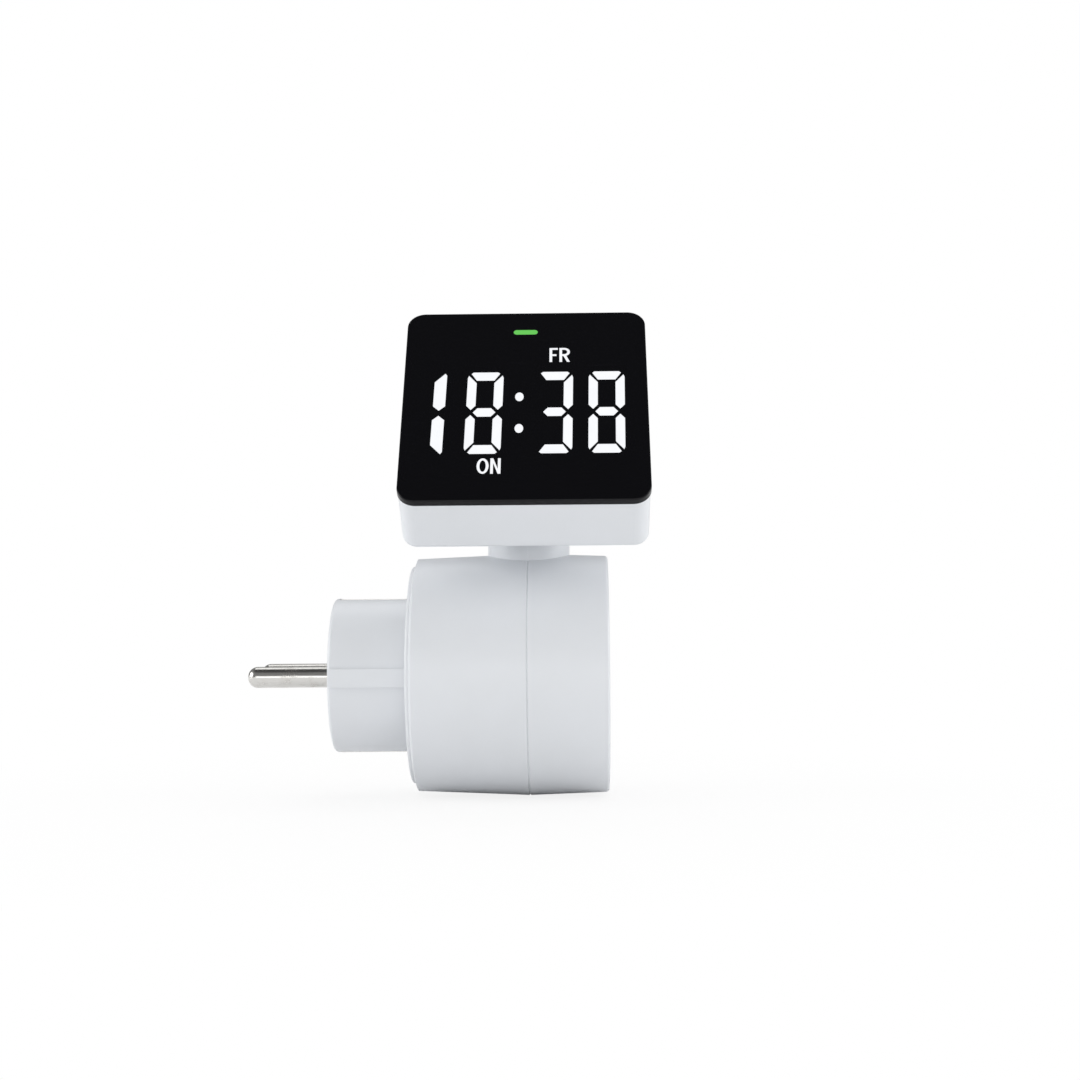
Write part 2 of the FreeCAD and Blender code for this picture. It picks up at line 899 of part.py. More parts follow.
def plug_pin(side):
    y = side * pin_y
    pin = rod_x(pin_radius, -pin_length, -pin_collar, y)
    pin = pin.makeFillet(pin_tip, edges_at_x(pin, -pin_length))
    root = rod_x(pin_root_radius, -pin_collar, plug_face_wall, y)
    flange = rod_x(pin_flange_radius, plug_face_wall, plug_face_wall + pin_flange, y)
    tail = rod_x(pin_tail_radius, plug_face_wall + pin_flange, board_front_x + pin_tail_proud, y)
    return fuse([pin, root, flange, tail])


def earth_bridge():
    upper = [
        (bridge_x, 0),
        (bridge_x, strip_wall_z),
        (strip_turn_x, strip_wall_z),
        (strip_turn_x, strip_socket_z),
        (recess_floor_x + strip_bend_run, strip_socket_z),
        (recess_floor_x + strip_bulge_run, strip_socket_z - strip_bulge),
        (recess_floor_x + strip_end_run, strip_socket_z),
    ]
    plug_side = [(strip_start_x, strip_plug_z), (bridge_x, strip_plug_z)]
    half = strip_width / 2
    top = strip(upper, half).fuse(strip(plug_side, half))
    return fuse([top, top.mirror(ORIGIN, Z_AXIS)])


def power_board():
    disc = rod_x(board_radius, board_x, board_front_x)
    openings = []
    for y, z in screw_places():
        openings.append(screw_boss(screw_boss_radius + screw_boss_clearance, board_x - over,
                                   board_front_x + over, y, z))
    half = strip_width / 2 + part_gap
    low = strip_wall_z - strip_thickness / 2 - part_gap
    notch = block(board_x - over, board_front_x + over, -half, half, low, far)
    openings.append(notch)
    openings.append(notch.mirror(ORIGIN, Z_AXIS))
    for side in (-1, 1):
        openings.append(rod_x(pin_tail_radius + pin_tail_clearance, board_x - over, board_front_x + over,
                              side * pin_y))
    return cut(disc, openings)


def relay():
    half = relay_width / 2
    body = block(board_front_x, relay_front_x, -half, half, relay_low_z, relay_high_z)
    return body.makeFillet(relay_edge, edges_along_x(body))


def mains_capacitor():
    half = film_width / 2
    body = block(board_front_x, board_front_x + film_height, -half, half,
                 film_low_z, film_low_z + film_thickness)
    return body.makeFillet(film_edge, edges_along_x(body))


def can_capacitor(radius, height, y, z):
    """Electrolytic can with the rolled neck near its foot."""
    can = rod_x(radius, board_front_x, board_front_x + height, y, z)
    neck_middle = Vec(board_front_x + can_neck, y, z)
    neck = Part.makeTorus(radius + can_neck_offset, can_neck_round, neck_middle, X_AXIS)
    return cut(can.makeFillet(can_edge, edges_at_x(can, board_front_x + height)), [neck])


def smoothing_capacitor():
    y = -(carrier_half_y + smoothing_side)
    return can_capacitor(smoothing_radius, smoothing_height, y, smoothing_z)


def filter_capacitor():
    y = -(carrier_half_y + filter_side)
    return can_capacitor(filter_radius, filter_height, y, filter_z)


def varistor():
    y0 = carrier_half_y + varistor_side
    return rod_y(varistor_radius, y0, y0 + varistor_thickness, board_front_x + varistor_radius, varistor_z)


def fuse_resistor():
    body = rod_z(resistor_radius, resistor_z, resistor_z + resistor_length,
                 board_front_x + resistor_radius, resistor_y)
    rims = [edge for edge in body.Edges if edge.BoundBox.ZLength < tolerance]
    return body.makeFillet(resistor_edge, rims)


def rectifier():
    return block(board_front_x, board_front_x + rectifier_thickness,
                 rectifier_y, rectifier_y + rectifier_width,
                 rectifier_z, rectifier_z + rectifier_height)


def cable_socket():
    return block(board_front_x, board_front_x + cable_socket_length, cable_socket_y,
                 cable_socket_y + cable_socket_width, cable_socket_z, cable_socket_z + cable_socket_depth)


def contact_carrier():
    body = block(carrier_back_x, carrier_front_x, -carrier_half_y, carrier_half_y,
                 -carrier_half_z, carrier_half_z)
    ears = block(carrier_front_x - carrier_ear, carrier_front_x, -carrier_ear_y, carrier_ear_y,
                 -carrier_ear_half_z, carrier_ear_half_z)
    foot = block(board_front_x, carrier_back_x, -carrier_foot_half_y, carrier_foot_half_y,
                 -carrier_foot_half_z, carrier_foot_half_z)
    bores = [rod_x(spring_radius + spring_side_gap, carrier_front_x - spring_well, carrier_front_x + over)]
    for side in (-1, 1):
        bores.append(rod_x(contact_radius + contact_clearance, board_front_x, carrier_front_x + over,
                           side * pin_y))
    return cut(fuse([body, ears, foot]), bores)


def socket_contact(side):
    """Split sleeve that grips an appliance plug's pin, with a solder tail."""
    y = side * pin_y
    start = carrier_back_x + contact_floor
    sleeve = rod_x(contact_radius, start, carrier_front_x - contact_front_gap, y)
    bore = rod_x(contact_bore, start + contact_base, carrier_front_x + over, y)
    slit = block(start + contact_slit_start, carrier_front_x + over,
                 y - contact_radius - over, y + contact_radius + over, -contact_slit / 2, contact_slit / 2)
    half = contact_tail_width / 2
    tail = block(board_front_x, start + contact_tail_reach, y - half, y + half,
                 -contact_tail_drop, contact_tail_thickness - contact_tail_drop)
    return cut(sleeve, [bore, slit]).fuse(tail).removeSplitter()


def shutter():
    """Swinging blade that closes both contact holes until both pins push it aside."""
    w = shutter_half_width
    reach = shutter_reach - w
    blade = block(shutter_back_x, shutter_front_x, -reach, reach, -w, w)
    ends = [rod_x(w, shutter_back_x, shutter_front_x, side * reach) for side in (-1, 1)]
    bore = rod_x(shutter_pivot_radius + shutter_running_gap, shutter_back_x - over, shutter_front_x + over)
    return cut(fuse([blade] + ends), [bore])


def shutter_spring():
    """Round leaf spring in the carrier's well, open at one side."""
    outer = spring_radius + spring_leaf / 2
    inner = spring_radius - spring_leaf / 2
    start = spring_opening / 2
    entries = [
        polar(inner, start),
        polar(outer, start),
        (polar(outer, 180), polar(outer, -start)),
        polar(inner, -start),
        (polar(inner, 180), polar(inner, start)),
    ]
    well_floor_x = carrier_front_x - spring_well
    return prism_x(entries, well_floor_x + spring_end_gap, carrier_front_x - spring_end_gap)


def friction_ring():
    low = flange_top_z + ring_gap
    high = low + ring_thickness
    ring = rod_z(hub_cavity_radius - ring_outer_gap, low, high, seam_x)
    return ring.cut(rod_z(spigot_radius + ring_inner_gap, low - over, high + over, seam_x))


def display_cable_lower():
    start_x = board_front_x + cable_socket_length
    turn_x = start_x + lower_cable_start_run
    high_z = shoulder_radius - body_wall - lower_cable_wall_drop
    return tube([
        (start_x, lower_cable_y, lower_cable_z),
        (turn_x, lower_cable_y, lower_cable_z),
        (turn_x + lower_cable_climb_run, lower_cable_y, high_z),
        (seam_x, lower_cable_y, high_z),
        (seam_x, 0, high_z),
        (seam_x, 0, tilt_z - saddle_radius - cable_end_gap),
    ], cable_radius)


# Turret

def tilt_vectors():
    """The head's outward and upward directions, as (y, z), at rest."""
    lean = math.radians(head_tilt)
    return (-math.cos(lean), math.sin(lean)), (math.sin(lean), math.cos(lean))


def turret():
    flare_middle = (turret_radius - turret_flare_bulge, turret_foot_z + turret_flare / 3)
    foot = lathe_z([
        (0, turret_foot_z),
        (turret_foot_radius, turret_foot_z),
        (flare_middle, (turret_radius, turret_rim_z)),
        (turret_radius, turret_top_z),
        (0, turret_top_z),
    ])
    out, up = tilt_vectors()
    tangent = (out[0] * cheek_radius, tilt_z + out[1] * cheek_radius)
    back = (polar(cheek_radius, 45)[0], tilt_z + polar(cheek_radius, 45)[1])
    cheek_outline = [
        (-turret_radius - over, turret_top_z - over),
        (-turret_radius, turret_top_z),
        tangent,
        back,
        (turret_radius, turret_top_z),
        (turret_radius, turret_top_z - over),
    ]
    column = rod_z(turret_radius, turret_top_z - over, far, seam_x)
    cheeks = []
    for x0, x1 in ((cheek_inner, cheek_outer), (-cheek_outer, -cheek_inner)):
        cheek = prism_x(cheek_outline, seam_x + x0, seam_x + x1)
        knuckle = rod_x(cheek_radius, seam_x + x0, seam_x + x1, 0, tilt_z)
        cheeks.append(cheek.fuse(knuckle).common(column))
    spigot = rod_z(spigot_radius, flange_top_z, turret_rim_z, seam_x)
    flange = rod_z(flange_radius, flange_low_z, flange_top_z, seam_x)
    peg_top = flange_low_z + peg_root
    rest_angle = -swivel_range / 2
    peg = sector(peg_inner_radius, peg_outer_radius, peg_top - peg_height, peg_top,
                 rest_angle - peg_half_angle, rest_angle + peg_half_angle)
    saddle = rod_x(saddle_radius, seam_x - cheek_inner, seam_x + cheek_inner, 0, tilt_z)
    bore = rod_z(turret_bore, 0, tilt_z, seam_x)
    pin_seat = rod_x(tilt_pin_radius + tilt_pin_seat_gap, seam_x + tilt_pin_start,
                     seam_x + cheek_outer + over, 0, tilt_z)
    return cut(fuse([foot, spigot, flange, peg] + cheeks), [saddle, bore, pin_seat])


def tilt_pin():
    pin = rod_x(tilt_pin_radius, seam_x + tilt_pin_start, seam_x + tilt_pin_end, 0, tilt_z)
    return pin.makeFillet(tilt_pin_edge, edges_at_x(pin, seam_x + tilt_pin_end))


# Display head

def to_head(shape):
    """Turn an upright head piece to its lean and put it on the hinge."""
    placed = shape.copy()
    placed.rotate(ORIGIN, X_AXIS, -head_tilt)
    placed.translate(Vec(seam_x, 0, tilt_z))
    return placed


def face_z(b):
    """Height in the head's frame of a place b above the face's lower edge."""
    return head_bottom_z + b


def flip_x(points, width):
    return [(width - p, q) for p, q in points]


def flip_y(points, height):
    return [(p, height - q) for p, q in points]


def stroke_outlines():
    """The seven strokes of a digit: t top, m middle, b bottom, then upper and lower, left and right."""
    w = digit_width
    h = digit_height
    middle = h / 2
    half = stroke_y / 2
    trim = stroke_trim
    wide = stroke_x
    rake = stroke_drop * (wide - trim) / stroke_y
    top = [
        (trim + rake, h - stroke_drop),
        (trim + stroke_round, h),
        (w - trim - stroke_round, h),
        (w - trim - rake, h - stroke_drop),
        (w - wide, h - stroke_y),
        (wide, h - stroke_y),
    ]
    side = [
        (stroke_slope, h - stroke_corner),
        (0, h - stroke_corner - stroke_round),
        (0, middle + half + stroke_space),
        (wide / 2, middle + stroke_space),
        (wide, middle + half + stroke_space),
        (wide, h - stroke_y - stroke_space),
    ]
    bar = [
        (stroke_point, middle),
        (stroke_point + half * bar_rake, middle + half),
        (w - stroke_point - half * bar_rake, middle + half),
        (w - stroke_point, middle),
        (w - stroke_point - half * bar_rake, middle - half),
        (stroke_point + half * bar_rake, middle - half),
    ]
    return {
        "t": top,
        "m": bar,
        "b": flip_y(top, h),
        "ul": side,
        "ur": flip_x(side, w),
        "ll": flip_y(side, h),
        "lr": flip_x(flip_y(side, h), w),
    }


def leading_one():
    """The first digit has two broader strokes of its own."""
    w = one_width
    h = one_height
    middle = h / 2
    upper = [
        (0, h - one_peak),
        (w - one_corner, h),
        (w, h - one_drop),
        (w, middle + w / 2 + stroke_space),
        (w / 2, middle + stroke_space),
        (0, middle + w / 2 + stroke_space),
    ]
    return [upper, flip_y(upper, h)]


def stroke_prisms(strokes, a, width, height, y0, y1):
    """Prisms of one digit's strokes, leaning to the right with the digit."""
    lean = math.tan(math.radians(digit_slant))
    prisms = []
    for stroke in strokes:
        placed = []
        for p, q in stroke:
            placed.append((a + p - width / 2 + (q - height / 2) * lean, face_z(digit_bottom_b + q)))
        prisms.append(prism_y(placed, y0, y1))
    return prisms


def digits():
    """Strokes, centre, width and height of each digit of the time shown."""
    strokes = stroke_outlines()
    eight = list(strokes.values())
    three = [strokes[name] for name in ("t", "m", "b", "ur", "lr")]
    return {
        "digit_hour_tens": (leading_one(), hour_tens_a, one_width, one_height),
        "digit_hour_ones": (eight, hour_ones_a, digit_width, digit_height),
        "digit_minute_tens": (three, minute_tens_a, digit_width, digit_height),
        "digit_minute_ones": (eight, minute_ones_a, digit_width, digit_height),
    }


def behind_window(a, half_width, b0, b1):
    """Flat foot of a light guide, against the back of the window."""
    m = guide_margin
    return block(a - half_width - m, a + half_width + m, window_back_y, guide_back_y,
                 face_z(b0 - m), face_z(b1 + m))


def digit_guide(strokes, a, width, height):
    foot = behind_window(a, width / 2, digit_bottom_b, digit_bottom_b + height)
    return fuse([foot] + stroke_prisms(strokes, a, width, height, face_y + guide_flush, window_back_y))


def oval(half_width, half_height, a, z, y0, y1):
    """Prism with an upright oval section."""
    curve = Part.Ellipse(Vec(a, y0, z + half_height), Vec(a + half_width, y0, z), Vec(a, y0, z))
    return Part.Face(Part.Wire([curve.toShape()])).extrude(Vec(0, y1 - y0, 0))


def colon_pips(y0, y1):
    pips = []
    for b in colon_places:
        pips.append(oval(colon_half_width, colon_half_height, colon_a, face_z(b), y0, y1))
    return pips


def colon_dots():
    foot = behind_window(colon_a, colon_half_width, colon_places[0] - colon_half_height,
                         colon_places[1] + colon_half_height)
    return fuse([foot] + colon_pips(face_y + guide_flush, window_back_y))


def bar_prism(y0, y1):
    half = bar_height / 2
    bar = rounded_block(bar_width / 2, -half, half, half - round_margin, y0, y1)
    bar.translate(Vec(bar_a, 0, face_z(bar_b)))
    return bar


def status_bar():
    """Light guide from the board to the bar at the top of the window."""
    foot = behind_window(bar_a, bar_width / 2, bar_b - bar_height / 2, bar_b + bar_height / 2)
    return fuse([bar_prism(face_y + guide_flush, housing_back_y), foot])


def letter(name, y0, y1):
    """One block letter with its lower left corner at the origin."""
    s = letter_stroke
    w = letter_widths[name]
    h = letter_height
    if name == "F":
        arm = h * 0.42
        reach = w - s / 2
        return prism_y([(0, 0), (s, 0), (s, arm), (reach, arm), (reach, arm + s), (s, arm + s),
                        (s, h - s), (w, h - s), (w, h), (0, h)], y0, y1)
    if name == "N":
        return prism_y([(0, 0), (s, 0), (s, h * 0.68), (w - s, 0), (w, 0), (w, h), (w - s, h),
                        (w - s, h * 0.32), (s, h), (0, h)], y0, y1)
    if name == "O":
        ring = oval(w / 2, h / 2, w / 2, h / 2, y0, y1)
        return ring.cut(oval(w / 2 - s, h / 2 - s, w / 2, h / 2, y0, y1))
    low = h * 0.42
    bowl = (h - low) / 2
    straight = w - bowl
    hole = bowl - s
    outer = prism_y([(0, low), (straight, low), ((w, low + bowl), (straight, h)), (0, h)], y0, y1)
    inner = prism_y([(s, low + s), (straight, low + s), ((straight + hole, low + bowl), (straight, h - s)),
                     (s, h - s)], y0, y1)
    stem = prism_y([(0, 0), (s, 0), (s, h), (0, h)], y0, y1)
    leg = prism_y([(w - s * 1.1, 0), (w, 0), (w * 0.62, low + s / 2), (w * 0.32, low + s / 2)], y0, y1)
    return fuse([outer.cut(inner), stem, leg])


def word(text, centre_a, b, y0, y1):
    """Letters side by side, centred on a place of the face."""
    length = sum(letter_widths[name] for name in text) + letter_space * (len(text) - 1)
    start = centre_a - length / 2
    letters = []
    for name in text:
        shape = letter(name, y0, y1)
        shape.translate(Vec(start, 0, face_z(b)))
        letters.append(shape)
        start += letter_widths[name] + letter_space
    return letters


def inlay(text, centre_a, b):
    """Lit letters let into the front of the window."""
    return Part.makeCompound(word(text, centre_a, b, face_y + guide_flush, face_y + letter_depth))


def display_window():
    plate = rounded_block(head_width / 2, head_bottom_z, head_top_z, head_corner, face_y, window_back_y)
    plate = plate.makeFillet(window_edge, edges_at_y(plate, face_y))
    openings = []
    for strokes, a, width, height in digits().values():
        openings += stroke_prisms(strokes, a, width, height, face_y - over, window_back_y + over)
    openings += colon_pips(face_y - over, window_back_y + over)
    openings.append(bar_prism(face_y - over, window_back_y + over))
    openings += word(weekday_text, weekday_a, weekday_b, face_y - over, face_y + letter_depth)
    openings += word(state_text, state_a, state_b, face_y - over, face_y + letter_depth)
    return cut(plate, openings)


def button_places():
    return [button_pitch * steps for steps in (-1.5, -0.5, 0.5, 1.5)]


def head_case():
    """White box behind the window, open in front and towards the rear cover."""
    half = head_width / 2 - case_inset
    low = head_bottom_z + case_inset
    high = case_top_z
    corner = case_corner
    box = rounded_block(half, low, high, corner, window_back_y, case_back_y)
    box = box.makeFillet(case_edge, edges_at_y(box, case_back_y))
    t = case_wall
    hollow = rounded_block(half - t, low + t, high - t, corner - t, window_back_y - over, case_back_y - t)
    pillars = []
    openings = []
    for a, z in pillar_places():
        pillars.append(rod_y(pillar_radius, display_board_back_y, case_back_y - t / 2, a, z))
        openings.append(rod_y(head_screw_radius + screw_hole, display_board_back_y - over,
                              head_screw_end_y + head_screw_end_gap, a, z))
    limit = rounded_block(half - t / 2, low + t / 2, high - t / 2, corner - t / 2,
                          window_back_y, case_back_y)
    pillars = [pillar.common(limit) for pillar in pillars]
    openings.append(rounded_block(cover_half_width - cover_lip, cover_low_z + cover_lip,
                                  cover_high_z - cover_lip, cover_corner - cover_lip,
                                  case_back_y - t - over, case_back_y + over))
    for a in button_places():
        c = button_clearance
        openings.append(block(a - button_width / 2 - c, a + button_width / 2 + c,
                              button_y - button_depth / 2 - c, button_y + button_depth / 2 + c,
                              high - t - over, high + over))
    return cut(fuse([box.cut(hollow)] + pillars), openings)


def pillar_places():
    places = []
    for a in (-pillar_a, pillar_a):
        for b in (pillar_low_b, pillar_high_b):
            places.append((a, face_z(b)))
    return places


def cover_form(inset, front_y, back_y):
    """Tapered block between two planes, shrunk all round by an inset."""
    wires = []
    for y in (front_y, back_y):
        taper = cover_draft * (y - case_back_y) / cover_depth
        shrink = inset + taper
        wires.append(rounded_wire(cover_half_width - shrink, cover_low_z + shrink, cover_high_z - shrink,
                                  cover_corner - shrink / 2, y))
    return Part.makeLoft(wires, True, True)


def head_rear_cover():
    """Tapered housing clipped into the case, with the hinge tongue on its back."""
    body = cover_form(0, case_back_y, cover_back_y)
    body = body.makeFillet(cover_edge, edges_at_y(body, cover_back_y))
    step = cover_lip + cover_fit
    skirt_end = case_back_y - case_wall - hook_height
    skirt = rounded_block(cover_half_width - step, cover_low_z + step, cover_high_z - step,
                          cover_corner - step, skirt_end, case_back_y + cover_wall)
    inner = step + cover_lip_wall
    skirt_hollow = rounded_block(cover_half_width - inner, cover_low_z + inner, cover_high_z - inner,
                                 cover_corner - inner, skirt_end - over, case_back_y)
    hollow = cover_form(inner, case_back_y, cover_back_y - cover_wall)
    hooks = []
    for side in (-1, 1):
        edge_z = cover_low_z + step if side < 0 else cover_high_z - step
        z0, z1 = sorted((edge_z - side * hook_root, edge_z + side * hook_depth))
        for a in (-hook_a, hook_a):
            hooks.append(block(a - hook_width / 2, a + hook_width / 2, skirt_end,
                               case_back_y - case_wall - hook_gap, z0, z1))
    tongue = rod_x(tongue_radius, -tongue_half_width, tongue_half_width)
    web = block(-tongue_half_width, tongue_half_width, cover_back_y - cover_wall / 2, 0,
                -tongue_radius, tongue_radius)
    pin_hole = rod_x(tilt_pin_radius + tilt_pin_running_gap,
                     -tongue_half_width - over, tongue_half_width + over)
    s = cable_slot_half_width
    slot = block(-s, s, cover_back_y - cover_wall - over, cable_slot_y + s,
                 -tongue_radius - over, cable_slot_z + s)
    return cut(fuse([body, skirt] + hooks + [tongue, web]), [skirt_hollow, hollow, pin_hole, slot])


def led_housing():
    """Opaque block with a light cell behind each guide."""
    body = block(-housing_half_width, housing_half_width, guide_back_y, housing_back_y,
                 face_z(housing_bottom_b), face_z(housing_top_b))
    cells = []
    for strokes, a, width, height in digits().values():
        cells.append(block(a - width / 2, a + width / 2,
                           guide_back_y - over, housing_back_y - housing_floor,
                           face_z(digit_bottom_b), face_z(digit_bottom_b + height)))
    for b in colon_places:
        cells.append(rod_y(colon_half_width, guide_back_y - over, housing_back_y - housing_floor,
                           colon_a, face_z(b)))
    return cut(body, cells)


def display_board():
    low_z = face_z(display_board_bottom_b)
    high_z = face_z(display_board_top_b)
    board = rounded_block(display_board_half_width, low_z, high_z, display_board_corner,
                          housing_back_y, display_board_back_y)
    holes = []
    for a, z in pillar_places():
        holes.append(rod_y(head_screw_radius + head_screw_clearance, housing_back_y - over,
                           display_board_back_y + over, a, z))
    return cut(board, holes)


def head_screws():
    top_y = housing_back_y - head_screw_head
    long_half = head_screw_slot_length / 2
    short_half = head_screw_slot_width / 2
    screws = []
    for a, z in pillar_places():
        cap = rod_y(head_screw_head_radius, top_y, housing_back_y, a, z)
        cap = cap.makeFillet(head_screw_edge, edges_at_y(cap, top_y))
        slot = block(a - long_half, a + long_half, top_y - over, top_y + head_screw_slot_depth,
                     z - short_half, z + short_half)
        shank = rod_y(head_screw_radius, housing_back_y, head_screw_end_y, a, z)
        screws.append(cut(cap.fuse(shank), [slot]))
    return Part.makeCompound(screws)


def processor():
    y0 = display_board_back_y
    half = processor_width / 2
    return block(-half, half, y0, y0 + processor_thickness,
                 face_z(processor_b), face_z(processor_b + processor_width))


def battery_place():
    return battery_a, face_z(battery_b)


def battery_holder():
    a, z = battery_place()
    y0 = display_board_back_y
    half = battery_radius + battery_wall
    frame = block(a - half, a + half, y0, y0 + battery_base + battery_thickness, z - half, z + half)
    well = rod_y(battery_radius + battery_clearance, y0 + battery_base,
                 y0 + battery_base + battery_thickness + over, a, z)
    return cut(frame, [well])


def backup_battery():
    a, z = battery_place()
    y0 = display_board_back_y + battery_base
    cell = rod_y(battery_radius, y0, y0 + battery_thickness, a, z)
    return cell.makeFillet(battery_edge, edges_at_y(cell, y0 + battery_thickness))


def head_cable_socket():
    y0 = display_board_back_y
    half = head_socket_width / 2
    middle_z = face_z(head_socket_b)
    return block(-half, half, y0, y0 + head_socket_height,
                 middle_z - head_socket_length / 2, middle_z + head_socket_length / 2)


def display_cable_upper():
    start_y = display_board_back_y + head_socket_height
    start_z = face_z(head_socket_b)
    return tube([
        (0, start_y, start_z),
        (0, start_y + upper_cable_start_run, start_z),
        (0, cover_back_y - cover_wall - upper_cable_turn_gap, cable_slot_z),
        (0, cable_slot_y, cable_slot_z),
        (0, cable_slot_y, -tongue_radius + cable_end_gap),
    ], cable_radius)


def tact_switches():
    """Side-pressed switches at the top of the display board."""
    switches = []
    top = button_flange_z - switch_drop
    y0 = display_board_back_y
    for a in button_places():
        body = block(a - switch_half_width, a + switch_half_width,
                     y0, button_y + plunger_radius + switch_wall, top - switch_height, top)
        well = rod_z(plunger_radius + plunger_clearance, top - plunger_well, top + over, a, button_y)
        switches.append(cut(body, [well]))
    return Part.makeCompound(switches)


def button(a):
    """Push button: cap, retaining flange and the stem that works its switch."""
    top = case_top_z + button_proud
    y0 = button_y - button_depth / 2
    y1 = button_y + button_depth / 2
    m = button_flange_margin
    flange_z = button_flange_z
    cap = block(a - button_width / 2, a + button_width / 2, y0, y1, flange_z, top)
    rim = [edge for edge in cap.Edges
           if edge.BoundBox.ZMax > top - tolerance or edge.BoundBox.ZLength > button_flange]
    cap = cap.makeFillet(button_edge, rim)
    flange = block(a - button_width / 2 - m, a + button_width / 2 + m, y0 - m, y1 + m,
                   flange_z, flange_z + button_flange)
    stem = rod_z(plunger_radius, flange_z - switch_drop - plunger_reach, flange_z, a, button_y)
    return fuse([cap, flange, stem])


# Write every piece

pieces = {
    "rear_shell": rear_shell(),
    "front_shell": front_shell(),
    "plug_pin_live": plug_pin(-1),
    "plug_pin_neutral": plug_pin(1),
    "earth_bridge": earth_bridge(),
    "case_screws": Part.makeCompound(case_screws()),
    "power_board": power_board(),
    "relay": relay(),
    "mains_capacitor": mains_capacitor(),
    "smoothing_capacitor": smoothing_capacitor(),
    "filter_capacitor": filter_capacitor(),
    "varistor": varistor(),
    "fuse_resistor": fuse_resistor(),
    "rectifier": rectifier(),
    "cable_socket": cable_socket(),
    "contact_carrier": contact_carrier(),
    "contact_live": socket_contact(-1),
    "contact_neutral": socket_contact(1),
    "shutter": shutter(),
    "shutter_spring": shutter_spring(),
    "friction_ring": friction_ring(),
    "display_cable_lower": display_cable_lower(),
    "turret": turret(),
    "tilt_pin": tilt_pin(),
    "display_window": to_head(display_window()),
    "head_case": to_head(head_case()),
    "head_rear_cover": to_head(head_rear_cover()),
    "colon_dots": to_head(colon_dots()),
    "weekday_letters": to_head(inlay(weekday_text, weekday_a, weekday_b)),
    "on_letters": to_head(inlay(state_text, state_a, state_b)),
    "status_bar": to_head(status_bar()),
    "led_housing": to_head(led_housing()),
    "display_board": to_head(display_board()),
    "head_screws": to_head(head_screws()),
    "processor": to_head(processor()),
    "battery_holder": to_head(battery_holder()),
    "backup_battery": to_head(backup_battery()),
    "tact_switches": to_head(tact_switches()),
    "head_cable_socket": to_head(head_cable_socket()),
    "display_cable_upper": to_head(display_cable_upper()),
}
for name, shape_data in digits().items():
    pieces[name] = to_head(digit_guide(*shape_data))
for name, place in zip(("button_menu", "button_minus", "button_plus", "button_mode"), button_places()):
    pieces[name] = to_head(button(place))

os.makedirs("parts", exist_ok=True)
for name, shape in pieces.items():
    if not shape.isValid() or len(shape.Solids) == 0:
        print("check", name, shape.isValid(), len(shape.Solids))
    shape.exportStep("parts/" + name + ".step")
print(len(pieces), "pieces")
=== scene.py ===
import math

import bmesh
import bpy
from mathutils import Matrix, Vector


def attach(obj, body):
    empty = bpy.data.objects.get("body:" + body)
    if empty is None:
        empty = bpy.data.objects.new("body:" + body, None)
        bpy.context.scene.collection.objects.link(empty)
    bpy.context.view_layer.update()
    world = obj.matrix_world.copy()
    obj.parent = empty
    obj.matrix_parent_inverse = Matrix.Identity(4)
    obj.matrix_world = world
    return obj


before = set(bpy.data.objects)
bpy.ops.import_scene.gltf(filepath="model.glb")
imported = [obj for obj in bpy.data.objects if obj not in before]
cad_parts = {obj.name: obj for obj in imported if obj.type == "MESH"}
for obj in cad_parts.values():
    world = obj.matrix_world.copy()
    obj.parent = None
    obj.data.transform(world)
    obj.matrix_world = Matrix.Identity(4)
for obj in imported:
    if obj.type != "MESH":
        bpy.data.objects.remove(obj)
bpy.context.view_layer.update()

MM = 0.001

# Places repeated from the model in millimetres, and the display's lean in degrees
SWIVEL_X = 45.2
HINGE_Z = 38.2
LEAN = 37.9
KEY_TOP = 32.95
KEY_Y = -20.4
KEY_PITCH = 10.5
BODY_RADIUS = 28.0

# Camera: place, lens and sensor in millimetres, turn in degrees
EYE = (56.177, -442.103, 17.954)
EYE_TURN = (91.7177, 0.4585, 1.0963)
LENS = 63.076
SENSOR = 36.0
NEAREST_SEEN = 10.0

# Studio: places and sizes in metres, lamp powers in watts
AIM = (0.03, -0.01, 0.01)
LAMPS = {
    "left_light": {"place": (-0.85, -0.10, 0.32), "size": (0.7, 0.5), "power": 3.2},
    "right_light": {"place": (0.95, -0.10, 0.32), "size": (0.7, 0.5), "power": 3.0},
    "top_light": {"place": (0.05, 0.45, 0.85), "size": (0.9, 0.6), "power": 1.9},
    "front_light": {"place": (0.05, -0.95, 0.12), "size": (0.9, 0.22), "power": 1.1},
}
FILL = 0.68
FLOOR_REACH = 4.0
FLOOR_GAP = 0.1 * MM
SHADOW_MIDDLE = (0.03, -0.01, -0.028)
SHADOW_ENDS = (0.03, 0.16)
SHADOW_WHITE = 0.84


# Node helpers

COLUMN = 190
ROW = -170
COLOUR_A = 6
COLOUR_B = 7
COLOUR_RESULT = 2


def put(tree, kind, place, **settings):
    """One shader node at a column and row, with its settings and plain input values."""
    node = tree.nodes.new(kind)
    node.location = (place[0] * COLUMN, place[1] * ROW)
    for name, value in settings.items():
        if name in node.inputs:
            node.inputs[name].default_value = value
        else:
            setattr(node, name, value)
    return node


def join(tree, *pairs):
    """Links from outputs to inputs, given in pairs."""
    for out, into in pairs:
        tree.links.new(out, into)


def feed(tree, socket, value):
    """Gives an input a number, a colour or the output of another node."""
    if isinstance(value, (int, float)):
        socket.default_value = value
    elif isinstance(value, tuple):
        socket.default_value = (*value, 1.0)
    else:
        tree.links.new(value, socket)


